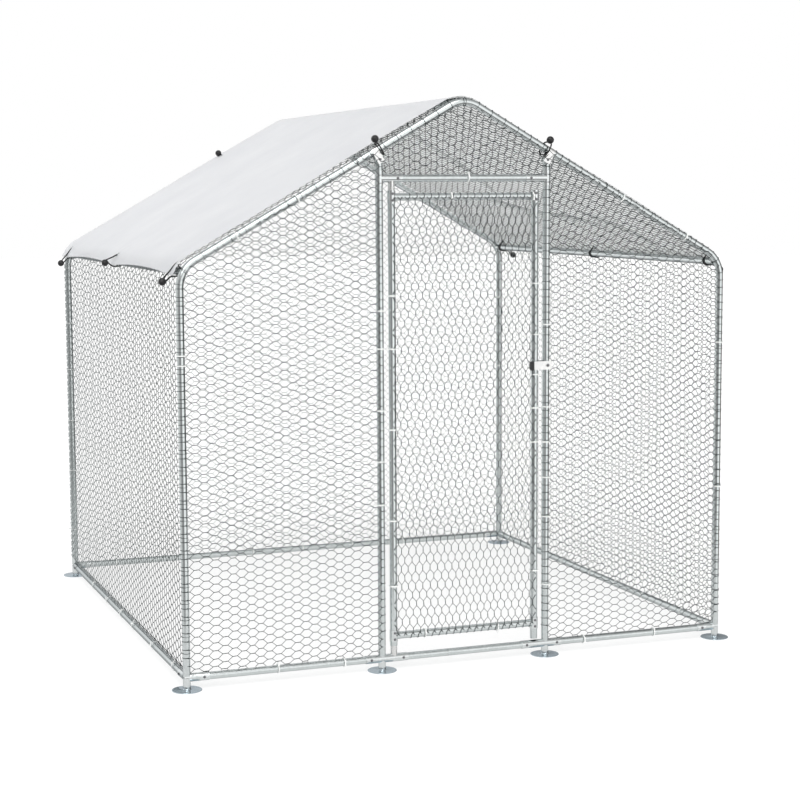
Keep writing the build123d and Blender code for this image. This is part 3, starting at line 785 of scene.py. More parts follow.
def strayed(points, outline, waves):
    # the waves die out at the edges, where the net is tied
    depth = -outlineReach(points, outline)[0].max(1)
    hold = np.clip(depth / net["strayEdge"], 0, 1)[:, None]
    moved = points.copy()
    for turn, phase, pull in waves:
        moved[:, :2] += hold * np.sin(points[:, :2] @ turn + phase)[:, None] * pull
    return moved


def clipChain(points, outline):
    # the stretches of a wire inside a convex outline, each with the outline edge that it meets at either end
    reach, normals = outlineReach(points, outline)
    stretches, current = [], None
    for k in range(len(points) - 1):
        low, high, lowEdge, highEdge = 0.0, 1.0, -1, -1
        for edge in range(len(outline)):
            a, b = reach[k, edge], reach[k + 1, edge]
            if a > 0 and b > 0:
                low, high = 1.0, 0.0
                break
            if a > 0 and a / (a - b) > low:
                low, lowEdge = a / (a - b), edge
            elif b > 0 and a / (a - b) < high:
                high, highEdge = a / (a - b), edge
        if high - low < 1e-9:
            current = None
            continue
        step = points[k + 1] - points[k]
        if current is None or low > 0:
            current = {"points": [points[k] + step * low], "startEdge": lowEdge, "endEdge": -1}
            stretches.append(current)
        current["points"].append(points[k] + step * high)
        if high < 1:
            current["endEdge"] = highEdge
            current = None
    return stretches, normals


def wrapPoints(tip, normal, drift):
    # the wire's end carried round the tube behind the net's edge, close to it after a third of the way
    along = np.array([-normal[1], normal[0]])
    points = [tip]
    for step in range(1, net["wrapSteps"] + 1):
        share = step / net["wrapSteps"]
        angle = math.radians(90 - net["wrapTurn"] * share)
        radius = net["lift"] + (net["wrapRadius"] - net["lift"]) * min(1, 3 * share)
        flat = tip[:2] + normal * radius * math.cos(angle) + along * drift * share
        points.append(np.array([flat[0], flat[1], radius * math.sin(angle) - net["lift"]]))
    return np.array(points)


def netChains(outline, wrapped, pitch, halfRepeat, twist, rows, rowStart, rise):
    # rows of wire over an outline; at an edge in wrapped, one row in that many goes round the tube
    uValues = [point[0] for point in outline]
    uMid = (min(uValues) + max(uValues)) / 2
    spare = 2 * math.ceil(abs(rise) * (max(uValues) - uMid) / pitch / 2)  # rows that the slope brings in
    waves = strayWaves()
    chains, wraps = [], []
    for row in range(-spare, rows + spare):
        points = wirePoints(row, min(uValues), max(uValues), pitch, halfRepeat, twist)
        points[:, 1] += rowStart + pitch / 2 + rise * (points[:, 0] - uMid)
        points = strayed(points, outline, waves)
        stretches, normals = clipChain(points, outline)
        for stretch in stretches:
            line = stretch["points"]
            length = sum(np.linalg.norm(b - a) for a, b in zip(line, line[1:]))
            if length < net["shortest"]:
                continue
            chains.append(np.array(line))
            for edge, tip in ((stretch["startEdge"], line[0]), (stretch["endEdge"], line[-1])):
                every = wrapped.get(edge)
                if every and row % every == 0 and row >= net["firstWrap"]:
                    wraps.append(wrapPoints(tip, normals[edge], dice.uniform(-1, 1) * net["wrapDrift"]))
    return chains, wraps


def standOff(across, start):
    # how far a net stands off the tubes' axes; one that starts on top of a tube leans out from there
    if start is None:
        return net["lift"]
    share = np.clip((across - start) / net["leanRun"], 0, 1)
    return net["lift"] * share * share * (3 - 2 * share)


def latchNear(points, axes):
    # 1 where the latch turns in front of the net, dying out just beyond its reach
    away = np.hypot(points[:, axes[0]] - boltMid.x, points[:, axes[1]] - boltMid.z)
    return np.clip((latchReach - away) / net["latchFade"] + 1, 0, 1)


def wallPlace(y, along, across, outward, start=None, pressed=None):
    # puts a flat net's own points on a wall; pressed gives its axes where the latch turns in front of it
    axes = np.array([along, across, outward], float)

    def place(chain):
        points = chain.copy()
        points[:, 2] += standOff(points[:, 1], start)
        if pressed:
            points[:, 2] -= net["latchPress"] * latchNear(chain, pressed)
        return np.array((0, y, 0), float) + points @ axes
    return place


def profilePlace(side):
    # the side walls and the roof are one roll of net that follows the eave bend
    def place(chain):
        lift = standOff(chain[:, 1], net["above"])
        x, z = profilePoint(side, chain[:, 1], lift + chain[:, 2], net["lift"])
        return np.stack([x, chain[:, 0], z], 1)
    return place


def counterClockwise(outline):
    area = sum(a[0] * b[1] - b[0] * a[1] for a, b in zip(outline, outline[1:] + outline[:1]))
    return outline if area > 0 else outline[::-1]


def wrappedEdges(outline, wrapEvery):
    # how many rows apart the wraps are at each edge; an edge that a wire runs along has none
    every = {}
    for k, (a, b) in enumerate(zip(outline, outline[1:] + outline[:1])):
        if abs(a[1] - b[1]) > 1e-6:
            every[k] = wrapEvery if abs(a[0] - b[0]) < 1e-6 else net["slopeWrapEvery"]
    return every


def netPiece(node, outline, place, rowStart, rows, body="frame", rowPitch=net["rowPitch"], closer=1.0,
             rise=0.0, wrapEvery=net["wrapEvery"], pressed=None):
    outline = counterClockwise(outline)
    weave = [size * closer for size in (rowPitch, net["halfRepeat"], net["twist"])]
    wrapped = wrappedEdges(outline, wrapEvery)
    chains, wraps = netChains(outline, wrapped, *weave, round(rows / closer), rowStart, rise)
    if pressed:  # no wire ends where the latch turns
        wraps = [wrap for wrap in wraps if latchNear(wrap, pressed)[0] == 0]
    finish = roofWireZinc if "roof" in node else wireZinc
    parts = []
    for label, lines, radius in (("Wires", chains, net["wireRadius"]), ("Wraps", wraps, net["wrapWire"])):
        placed = [place(line) for line in lines]
        parts.append(sweepPiece(node + label, placed, radius, net["wireSides"], finish, caps=True,
                                wobble=net["wobble"], wobbleScale=net["wobbleScale"]))
    dress(joinObjects(node + "_wire", parts), body, "net_wire", node)


def bendCorners(side, count=3):
    # points round the eave bend, from the post up
    xs, zs = profilePoint(side, np.linspace(postRun, postRun + roof["bend"] * eaveTurn, count), 0.0, 0.0)
    return list(zip(xs, zs))


netFoot, gableFoot = baseZ + net["above"], headZ + net["above"]
rowCount = math.ceil((ridgeZ - baseZ) / net["rowPitch"]) + 1
frontPlace = wallPlace(frontY, toRight, upright, toFront, netFoot, frontAxes)
for sideName, side in sideNames.items():
    outline = [(side * doorPostX, netFoot), (side * halfWidth, netFoot), *bendCorners(side),
               (side * doorPostX, rafterZ(doorPostX))]
    netPiece(f"net_front_{sideName}", outline, frontPlace, netFoot, rowCount, closer=net["closer"][sideName],
             rise=net["frontRise"], pressed=frontAxes)
apexCorners = [(side * net["apexHalf"], rafterZ(net["apexAt"])) for side in (1, -1)]
gableOutline = [(-doorPostX, gableFoot), (doorPostX, gableFoot), (doorPostX, rafterZ(doorPostX)),
                *apexCorners, (-doorPostX, rafterZ(doorPostX))]
gablePlace = wallPlace(frontY, toRight, upright, toFront, gableFoot)
netPiece("net_gable", gableOutline, gablePlace, gableFoot, rowCount)
rearOutline = [(-halfWidth, netFoot), (halfWidth, netFoot), *bendCorners(1), *apexCorners,
               *bendCorners(-1)[::-1]]
rearPlace = wallPlace(halfDepth, -toRight, upright, toBack, netFoot)
netPiece("net_rear", rearOutline, rearPlace, netFoot, rowCount)

roofSplit = postRun + (roof["bend"] + net["lift"]) * eaveTurn / 2
roofEnd = profileLength(net["lift"])
sideRows = 2 * round(roofSplit / net["rowPitch"] / 2)  # even, so that the twists carry on over the eave
roofStart = net["above"] + sideRows * net["rowPitch"]
roofRows = round((roofEnd - roofStart) / net["rowPitch"])
for sideName, side in sideNames.items():
    for node, low, high, rowStart, rows in (
            (f"net_{sideName}", net["above"], roofSplit + net["pastEave"], net["above"], sideRows),
            (f"net_roof_{sideName}", roofStart - net["beforeRoof"], roofEnd, roofStart, roofRows)):
        outline = [(frontY, low), (halfDepth, low), (halfDepth, high), (frontY, high)]
        netPiece(node, outline, profilePlace(side), rowStart, rows, wrapEvery=net["sideWrapEvery"])

doorOutline = [(bottomRailZ, -stileX), (topRailZ, -stileX), (topRailZ, stileX), (bottomRailZ, stileX)]
netPiece("door_net", doorOutline, wallPlace(frontY, upright, toRight, toFront, pressed=doorAxes), -stileX,
         net["doorRows"], "door", 2 * stileX / net["doorRows"], pressed=doorAxes)
print("netting made")


# cable ties that hold the netting to the tubes, with their tails left on

tie = {"radius": 0.0149, "shift": 0.0014, "width": 0.0036, "thick": 0.0012, "segments": 18,
       "head": (0.0052, 0.0060, 0.0050), "headAside": 0.001, "tail": 0.016,
       "spacing": 0.26, "jitter": 0.07, "turn": 35, "tiltUp": 0.6,
       # heights on the front uprights and the door's stiles, by each one's place across the front
       "posts": {-halfWidth: (1.103, 1.071), -doorPostX: (1.230, 1.103, 0.894, 0.721, 0.574),
                 doorPostX: (1.167, 0.881, 0.758, 0.633, 0.495, 0.254), halfWidth: (1.083, 0.560)},
       "stiles": {-stileX: (1.279, 1.101, 0.828, 0.517, 0.292),
                  stileX: (1.310, 1.134, 0.995, 0.879, 0.760, 0.307)},
       # places across, by each rail's height
       "rails": {topRailZ: (-0.051, 0.251), bottomRailZ: (-0.150, 0.120)}, "headBar": 0.012,
       # where the rows of ties start and end
       "rearPost": (0.14, 1.28), "frontBase": (0.40, 0.86), "longBase": (-0.85, 0.85), "rafter": (0.86, 0.42)}
tieDice = random.Random(23)


def tieUnit():
    # a band round Z with its head and tail towards X
    shape = bmesh.new()
    rings = []
    for k in range(tie["segments"]):
        angle = 2 * math.pi * k / tie["segments"]
        ring = []
        for radius, height in ((0, -0.5), (1, -0.5), (1, 0.5), (0, 0.5)):
            r = tie["radius"] + radius * tie["thick"]
            place = (tie["shift"] + r * math.cos(angle), r * math.sin(angle), height * tie["width"])
            ring.append(shape.verts.new(place))
        rings.append(ring)
    for k, ring in enumerate(rings):
        following = rings[(k + 1) % len(rings)]
        for j in range(4):
            shape.faces.new((ring[j], following[j], following[(j + 1) % 4], ring[(j + 1) % 4]))
    headX = tie["shift"] + tie["radius"] + tie["head"][0] / 2
    for size, place in ((tie["head"], (headX, tie["headAside"], 0)),
                        ((tie["thick"], tie["tail"], tie["width"]), (headX, -tie["tail"] / 2, 0))):
        cube = bmesh.ops.create_cube(shape, size=1)["verts"]
        bmesh.ops.scale(shape, verts=cube, vec=size)
        bmesh.ops.translate(shape, verts=cube, vec=place)
    bmesh.ops.recalc_face_normals(shape, faces=shape.faces)
    return meshFrom("tieUnit", shape)


def tieAt(place, along, outward):
    turn = Matrix.Rotation(math.radians(tieDice.uniform(-tie["turn"], tie["turn"])), 3, along)
    flip = 1 if tieDice.random() < 0.5 else -1
    return Vector(place), Vector(along) * flip, turn @ Vector(outward).normalized()


def tieRow(start, end, outward):
    # ties along a tube, spaced by hand
    start, end = Vector(start), Vector(end)
    along = (end - start).normalized()
    spots, place = [], tieDice.uniform(0, tie["spacing"] / 2)
    while place < (end - start).length:
        spots.append(tieAt(start + along * place, along, outward))
        place += tie["spacing"] + tieDice.uniform(-1, 1) * tie["jitter"]
    return spots


frameTies = [tieAt((x, frontY, z), upright, toFront) for x, heights in tie["posts"].items() for z in heights]
frameTies.append(tieAt((tie["headBar"], frontY, headZ), toRight, toFront))
for side in bothSides:
    sideX = side * halfWidth
    frameTies += tieRow(*[(sideX, halfDepth, z) for z in tie["rearPost"]], toBack)
    frameTies += tieRow(*[(side * x, frontY, baseZ) for x in tie["frontBase"]], (0, -1, tie["tiltUp"]))
    frameTies += tieRow(*[(sideX, y, baseZ) for y in tie["longBase"]], (side, 0, tie["tiltUp"]))
    for y, out in ((frontY, toFront), (halfDepth, toBack)):
        frameTies += tieRow(*[(side * x, y, rafterZ(x)) for x in tie["rafter"]], out)
frameTies += tieRow(*[(x, halfDepth, baseZ) for x in tie["longBase"]], (0, 1, tie["tiltUp"]))
doorTies = [tieAt((x, frontY, z), upright, toFront) for x, heights in tie["stiles"].items() for z in heights]
doorTies += [tieAt((x, frontY, z), toRight, toFront) for z, places in tie["rails"].items() for x in places]
for body, spots in (("frame", frameTies), ("door", doorTies)):
    dress(fixingPiece(body + "_ties", tieUnit(), spots, tieNylon, smooth=False), body, "black_plastic")
print("cable ties set:", len(frameTies) + len(doorTies))


# screws through the sleeves

screw = {"flange": 0.0048, "flangeRim": 0.0006, "flangeTop": 0.001, "flangeSides": 14, "head": 0.0036,
         "height": 0.0028, "topEdge": 0.0004, "topShare": 0.8, "headSides": 6, "fromEnd": 0.018,
         "railStep": 0.011, "sunk": 0.0003, "smoothTo": 40}


def screwUnit():
    # a washer head with a six-sided top, Z out of the tube
    flange, head, seat, height = (screw[key] for key in ("flange", "head", "flangeTop", "height"))
    flangeOutline = [(0, 0), (flange, 0), (flange, screw["flangeRim"]), (head, seat), (0, seat)]
    topOutline = [(head, seat), (head, height - screw["topEdge"]), (screw["topShare"] * head, height),
                  (0, height)]
    shape = bmesh.new()
    shape.from_mesh(latheMesh("flange", flangeOutline, screw["flangeSides"]))
    shape.from_mesh(latheMesh("screwTop", topOutline, screw["headSides"]))
    return meshFrom("screwUnit", shape)


frameScrews, doorScrews = [], []
inset = sleeveRadius - screw["sunk"]
for side in bothSides:
    for end in bothSides:
        reach = connector["cornerReach"] - screw["fromEnd"]
        x, y = side * halfWidth, end * halfDepth
        frameScrews.append(((x - side * reach, y + end * inset, baseZ), (0, end, 0), toRight))
        frameScrews.append(((x + side * inset, y - end * reach, baseZ), (side, 0, 0), toBack))
    for reach, z in ((connector["runOut"], baseZ), (-connector["runIn"], baseZ),
                     (-connector["headReach"], headZ)):
        place = side * (doorPostX + reach - math.copysign(screw["fromEnd"], reach))
        frameScrews.append(((place, frontY - inset, z), toFront, toRight))
    for railZ in (topRailZ, bottomRailZ):
        for step in (-1, 1):
            place = (side * stileX, frontY - inset, railZ + step * screw["railStep"])
            doorScrews.append((place, toFront, toRight))
for body, spots in (("frame", frameScrews), ("door", doorScrews)):
    made = fixingPiece(body + "_screws", screwUnit(), spots, screwSteel)
    shadeByAngle(made, screw["smoothTo"])
    dress(made, body, "latch_steel")
print("screws set:", len(frameScrews) + len(doorScrews))


# straps that clamp the door posts' tops to the rafters

strap = {"thick": 0.0014, "width": 0.024, "leg": 0.042, "steps": 14, "boltDrop": 0.030, "play": 0.0001,
         "edge": 0.0003}


def slopeAxes(side):
    # up a roof slope, and out of it
    return Vector((-side * slopeCos, 0, slopeSin)), Vector((side * slopeSin, 0, slopeCos))


def strapMesh(side):
    # a bent band: leg, half turn over the rafter, leg; also the place of its bolts
    inner = tubeRadius + strap["play"]
    lines = []
    for radius in (inner, inner + strap["thick"]):
        line = [(-radius, -strap["leg"])]
        for k in range(strap["steps"] + 1):
            angle = math.pi * (1 - k / strap["steps"])
            line.append((radius * math.cos(angle), radius * math.sin(angle)))
        lines.append(line + [(radius, -strap["leg"])])
    mesh = plateMesh("strapUnit", lines[1] + lines[0][::-1], strap["width"], strap["edge"])
    clampX = side * (doorPostX + strap["boltDrop"] * slopeSin)
    upSlope, outward = slopeAxes(side)
    seat = Vector((clampX, frontY, rafterZ(clampX))) - upSlope * strap["width"] / 2
    boltPlace = seat + upSlope * strap["width"] / 2 - outward * strap["boltDrop"]
    return setFrame(mesh, seat, upSlope, outward.cross(upSlope)), boltPlace


straps, strapBolts = [], []
for side in bothSides:
    mesh, boltPlace = strapMesh(side)
    straps.append(finished(f"strap{side}", mesh, latchSteel))
    for out in (toFront, toBack):
        strapBolts.append((boltPlace + out * (tubeRadius + strap["thick"]), out, toRight))
straps.append(fixingPiece("strapBolts", screwUnit(), strapBolts, screwSteel))
clamps = joinObjects("post_clamps_bent", straps)
shadeByAngle(clamps)
dress(clamps, "frame", "zinc_fitting", "post_clamps")


# latch: a turning plate on a bolt, a black grip on its end, and the stop behind the stile

latch = {"corner": 0.006, "gripCorner": 0.005,
         "ribs": 4, "ribDepth": 0.0012, "ribMargin": 0.004, "ribShare": 0.3, "ribInset": 0.0015,
         "ribCorner": 0.0008, "headRadius": 0.0055, "headSides": 24, "shank": 0.003, "spacer": 0.0035,
         "nutHeight": 0.005, "nutEdge": 0.0045, "nutTop": 0.9, "nutSides": 6,
         # the bolt's domed head: share of its radius, and height
         "dome": ((0, 0.004), (0.6, 0.0038), (0.9, 0.0028), (1, 0.001), (1, 0))}


def frontPlate(name, low, high, corner, finish):
    mesh = plateMesh(name, roundedRectangle(high.x - low.x, high.z - low.z, corner), high.y - low.y)
    setFrame(mesh, ((low.x + high.x) / 2, high.y, (low.z + high.z) / 2), toFront, toRight)
    return finished(name, mesh, finish)


for node, body in (("latch_bar", "latch"), ("latch_stop", "frame")):
    plate = frontPlate(node + "_plate", *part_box(node), latch["corner"], latchSteel)
    dress(plate, body, "latch_steel", node)
gripLow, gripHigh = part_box("latch_grip")
gripFront = gripLow + toBack * latch["ribDepth"]
gripParts = [frontPlate("gripBody", gripFront, gripHigh, latch["gripCorner"], gripBlack)]
ribStep = (gripHigh.z - gripLow.z - 2 * latch["ribMargin"]) / latch["ribs"]
for k in range(latch["ribs"]):
    ribZ = gripLow.z + latch["ribMargin"] + ribStep * (k + 0.5)
    ribHalf = ribStep * latch["ribShare"]
    low = Vector((gripLow.x + latch["ribInset"], gripLow.y, ribZ - ribHalf))
    high = Vector((gripHigh.x - latch["ribInset"], gripLow.y + 2 * latch["ribDepth"], ribZ + ribHalf))
    gripParts.append(frontPlate(f"gripRib{k}", low, high, latch["ribCorner"], gripBlack))
dress(joinObjects("latch_grip_moulded", gripParts), "latch", "black_plastic", "latch_grip")

boltLow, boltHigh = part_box("latch_bolt")
headRadius, shank, nutHeight, spacer = (latch[key] for key in ("headRadius", "shank", "nutHeight", "spacer"))
headHeight = latch["dome"][0][1]
shankEnd = boltLow.y - boltHigh.y + headHeight
headOutline = [(share * headRadius, height) for share, height in latch["dome"]]
headOutline += [(shank, 0), (shank, shankEnd), (0, shankEnd)]
nutOutline = [(shank, 0), (headRadius, 0), (headRadius, latch["nutEdge"]),
              (latch["nutTop"] * headRadius, nutHeight), (shank, nutHeight)]
spacerOutline = [(shank, 0), (headRadius, 0), (headRadius, spacer), (shank, spacer)]
boltParts = []
for name, outline, sides, y, out in (
        ("boltHead", headOutline, latch["headSides"], boltLow.y + headHeight, toFront),
        ("boltNut", nutOutline, latch["nutSides"], boltHigh.y - nutHeight, toBack),
        ("boltSpacer", spacerOutline, latch["headSides"], frontY - tubeRadius, toFront)):
    mesh = setFrame(latheMesh(name, outline, sides), (boltMid.x, y, boltMid.z), out, toRight)
    boltParts.append(finished(name, mesh, screwSteel))
bolt = joinObjects("latch_bolt_turned", boltParts)
shadeByAngle(bolt)
dress(bolt, "frame", "latch_steel", "latch_bolt")
print("clamps and latch made")


# roof cover: one sheet over both slopes, drawn up between its ties

cover = {"lift": 0.0184, "thick": 0.0005, "step": 0.013, "scallop": 0.014, "edgeZ": 1.360, "hem": 0.025,
         "hemRise": 0.0009, "tieY": (-0.92, 0.0, 0.92), "slack": 0.002,
         # puckers that run up from every eave tie
         "pucker": 0.0035, "puckerFolds": 9, "puckerReach": 0.16, "puckerNarrow": 2.2, "puckerStart": 0.02,
         # ripples: waves along and up the slope, and one that runs slantwise
         "ripple": 0.0018, "waves": (7.0, 5.0), "waveShift": 0.6, "slant": (3.1, 8.3),
         # folds from packing, raised in the sheet and darkened with painted shade, on the flat sheet:
         # distance right of the ridge and place along the run
         "foldWidth": 0.024, "foldHeight": 0.014, "foldSteps": 20, "foldEnds": 0.4,
         "folds": (((0.20, 0.07), (0.37, 0.06), (0.53, 0.08), (0.69, 0.17)),
                   ((0.70, 0.46), (0.75, 0.36), (0.86, 0.074), (0.912, -0.25), (1.0, -0.38)),
                   ((0.86, -0.36), (0.92, -0.44), (1.0, -0.52), (1.12, -0.55)))}
coverLow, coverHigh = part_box("roof_cover")
coverFront, coverRear = coverLow.y, coverHigh.y
coverBend = roof["bend"] + cover["lift"]
coverStart = postRun + coverBend * math.asin((cover["edgeZ"] - baseZ - postRun) / coverBend)


def coverEdge(y):
    # height that the lower edge is drawn up, between one tie and the next
    places = cover["tieY"]
    for first, second in zip(places, places[1:]):
        if first <= y <= second:
            share = (y - first) / (second - first)
            return cover["scallop"] * 4 * share * (1 - share)
    return 0.0


def smoothLine(points, steps=6, closed=False):
    # a curve through points, as many short steps
    count, line = len(points), []

    def pick(k):
        return points[k % count] if closed else points[min(max(k, 0), count - 1)]

    for k in range(count if closed else count - 1):
        a, b, c, d = (pick(k + j) for j in (-1, 0, 1, 2))
        for step in range(steps):
            t = step / steps
            line.append(b + (c - a) * (t / 2) + (a * 2 - b * 5 + c * 4 - d) * (t * t / 2)
                        + (b * 3 - a - c * 3 + d) * (t ** 3 / 2))
    return line + [line[0] if closed else points[-1]]


foldPoints, foldWeights = [], []
for fold in cover["folds"]:
    line = smoothLine([np.array(point) for point in fold], cover["foldSteps"])
    foldPoints += line
    foldWeights += [math.sin(math.pi * k / (len(line) - 1)) ** cover["foldEnds"] for k in range(len(line))]
foldPoints, foldWeights = np.array(foldPoints), np.array(foldWeights)


def creaseAt(flatX, y):
    # 1 on a fold, dying out to either side and at its ends
    away = ((foldPoints - (flatX, y)) ** 2).sum(1)
    return float((foldWeights * np.exp(-away / cover["foldWidth"] ** 2)).max())


def coverLift(side, fromEdge, upSlope, y):
    # how far the sheet stands off its resting surface
    lift = 0.0
    for tieY in cover["tieY"]:
        near = math.hypot((y - tieY) * cover["puckerNarrow"], fromEdge)
        angle = math.atan2(y - tieY, fromEdge + cover["puckerStart"])
        folds = 0.5 + 0.5 * math.cos(cover["puckerFolds"] * angle + side)
        lift += cover["pucker"] * folds * math.exp(-near / cover["puckerReach"])
    (along, up), (slantAlong, slantUp) = cover["waves"], cover["slant"]
    wave = math.sin(y * along + side) * math.sin(upSlope * up + cover["waveShift"])
    wave += math.sin(y * slantAlong + upSlope * slantUp + 2 * side)
    lift += cover["ripple"] * (wave + 2) / 2
    lift += cover["slack"] * math.sin(math.pi * min(1, max(0, upSlope / slopeRun))) ** 2
    if min(fromEdge, y - coverFront, coverRear - y) < cover["hem"]:
        lift += cover["hemRise"]
    return lift


def coverMesh():
    start, end = coverStart, profileLength(cover["lift"])
    eaveEnd = postRun + coverBend * eaveTurn
    halfCount = round((end - start) / cover["step"])
    lengthCount = round((coverRear - coverFront) / cover["step"])
    columns = [(-1, k / halfCount) for k in range(halfCount)]
    columns += [(1, 1 - k / halfCount) for k in range(halfCount + 1)]
    points, flat, creases = [], [], []
    for j in range(lengthCount + 1):
        y = coverFront + (coverRear - coverFront) * j / lengthCount
        drawn = coverEdge(y)
        for side, share in columns:
            along = start + drawn * (1 - share) + (end - start) * share
            flatX = side * (end - along)
            creases.append(creaseAt(flatX, y))
            lift = cover["lift"] + coverLift(side, (end - start) * share, along - eaveEnd, y)
            x, z = profilePoint(side, along, lift + cover["foldHeight"] * creases[-1], cover["lift"])
            points.append((float(x), y, float(z)))
            flat.append((flatX, y))
    width = len(columns)
    faces = [(j * width + k, j * width + k + 1, (j + 1) * width + k + 1, (j + 1) * width + k)
             for j in range(lengthCount) for k in range(width - 1)]
    mesh = newMesh("roofCover", points, faces=faces)
    # the crease value lifts the sheet into real folds and also carries the painted shade along them in the
    # cover's materials
    mesh.attributes.new("crease", "FLOAT", "POINT").data.foreach_set("value", creases)
    layer = mesh.uv_layers.new(name="cut")
    for loop in mesh.loops:
        layer.data[loop.index].uv = flat[loop.vertex_index]
    return mesh, 2 * (end - start), coverRear - coverFront


mesh, sheetWidth, sheetLength = coverMesh()
made = linkObject("coverGrid", mesh)
mesh.materials.append(coverTop)
mesh.materials.append(coverUnder)
thick = made.modifiers.new("thickness", "SOLIDIFY")
thick.thickness, thick.offset = cover["thick"], -1
thick.material_offset, thick.material_offset_rim = 1, 0
roofCover = plainMesh(made, "roof_cover_sheet")
for face in roofCover.data.polygons:
    face.use_smooth = True
dress(roofCover, "frame", "cover_sheet", "roof_cover")
print("cover made, cut", round(sheetWidth, 3), "by", round(sheetLength, 3))


# elastic ties: a loop of cord through the cover's eyelets and round a tube, with a ball

bungee = {"ball": 0.013, "ballSteps": 12, "parting": 0.985, "cord": 0.0025, "cordSides": 10,
          "strandGap": 0.004,
          # an eave tie: how far round the bend its eyelet is, in radians, how far out its ball is, and the
          # ball's height by its place along the eave; the cord leaves the ball inward and up
          "eyeletTurn": 0.7, "out": 0.0405, "eaveBalls": {-0.92: 1.340, 0.0: 1.370, 0.92: 1.337},
          "ballLean": (0.6, -0.8), "overBall": (0.004, 0.009), "underBall": (0.009, 0.002),
          "roundTube": (105, 165, 225, 285), "tubeGap": 0.003, "edgeGap": 0.001,
          # a gable tie: place across, height of its ball off the tube, inner and outer eyelet along the run
          "gableX": {"front": (-0.301, 0.302), "rear": (-0.310, 0.310)}, "rise": 0.0352,
          "gableHoles": {"front": (0.036, -0.021), "rear": (-0.024, 0.024)},
          # its cord: from the ball or the tube, how far out, which eyelet and how near to it, which strand
          "gableRoute": (("ball", -0.010, 0, 0.15, 1), ("tube", 0.021, 0, 0.8, 1), ("tube", 0.0, 0, 1, 1),
                         ("tube", -0.018, 0, 0.6, 1), ("tube", -0.023, 0, 0, 0.3), ("tube", -0.016, 1, 1, -1),
                         ("tube", 0.014, 1, 1, -1), ("ball", -0.010, 1, 0.3, -1)),
          "eyeletLift": 0.002, "eyeletSteps": 20,
          "eyelet": ((0.0045, -0.0012), (0.0045, 0.0012), (0.0055, 0.0019), (0.0075, 0.0016),
                     (0.0088, 0.0006), (0.0088, 0), (0.0075, -0.0016), (0.0055, -0.0019), (0.0045, -0.0012))}


def ballUnit():
    # a moulded ball with a parting line
    radius, steps = bungee["ball"], bungee["ballSteps"]
    outline = [(0, radius)]
    for k in range(1, steps):
        angle = math.pi / 2 - math.pi * k / steps
        shrink = bungee["parting"] if 2 * k == steps else 1.0
        outline.append((radius * math.cos(angle) * shrink, radius * math.sin(angle)))
    return latheMesh("ballUnit", outline + [(0, -radius)])


def coverPoint(side, along, y, lift):
    x, z = profilePoint(side, along, lift, cover["lift"])
    return Vector((float(x), y, float(z)))


ballSpots, cordLoops, eyelets = [], [], []
for side in bothSides:
    for y, ballZ in bungee["eaveBalls"].items():
        ball = Vector((side * (halfWidth + bungee["out"]), y, ballZ))
        ballSpots.append((ball, (side * bungee["ballLean"][0], 0, bungee["ballLean"][1]), toBack))
        hole = postRun + coverBend * bungee["eyeletTurn"]
        eyelet = coverPoint(side, hole, y, cover["lift"] + bungee["eyeletLift"])
        eyelets.append((eyelet, coverPoint(side, hole, y, 1.0) - eyelet, toBack))
        strand = toBack * bungee["strandGap"]
        eave = Vector((side * eaveX, y, eaveZ))
        around = [math.radians(degrees) for degrees in bungee["roundTube"]]
        wrap = [eave + strand * (1 - 2 * k / (len(around) - 1))
                + Vector((side * math.cos(angle), 0, math.sin(angle))) * (tubeRadius + bungee["tubeGap"])
                for k, angle in enumerate(around)]
        underEdge = coverPoint(side, coverStart, y, cover["lift"]) - strand
        underEdge.z -= bungee["cord"] + bungee["edgeGap"]
        overBall, underBall = (ball + Vector((-side * inward, 0, up))
                               for inward, up in (bungee["overBall"], bungee["underBall"]))
        overBall += strand
        cordLoops.append([overBall, overBall.lerp(eyelet, 0.5), eyelet, *wrap, underEdge, underBall - strand])
for endName, places in bungee["gableX"].items():
    for x in places:
        upSlope, outward = slopeAxes(1 if x > 0 else -1)
        middle = Vector((x, endsY[endName], rafterZ(x)))
        starts = {"tube": middle, "ball": middle + outward * bungee["rise"]}
        ballSpots.append((starts["ball"], outward, toBack))
        holes = [toBack * place for place in bungee["gableHoles"][endName]]
        gap = upSlope * bungee["strandGap"]
        cordLoops.append([starts[start] + outward * out + holes[hole] * near + gap * strand
                          for start, out, hole, near, strand in bungee["gableRoute"]])
        seat = middle + outward * (cover["lift"] + bungee["eyeletLift"])
        # in front the outer strand passes before the sheet, so it has no eyelet
        for hole in holes[:1] if endName == "front" else holes:
            eyelets.append((seat + hole, outward, toBack))
balls = fixingPiece("bungee_balls_moulded", ballUnit(), ballSpots, ballBlack)
dress(balls, "frame", "black_plastic", "bungee_balls")
cords = sweepPiece("bungee_cords_braided", [smoothLine(points, closed=True) for points in cordLoops],
                   bungee["cord"], bungee["cordSides"], cordBlack)
dress(cords, "frame", "elastic_cord", "bungee_cords")
eyeletUnit = latheMesh("eyeletUnit", bungee["eyelet"], bungee["eyeletSteps"])
rings = fixingPiece("cover_eyelets", eyeletUnit, eyelets, fittingZinc)
dress(rings, "frame", "zinc_fitting")
print("ties and eyelets made")


# stage, light and camera

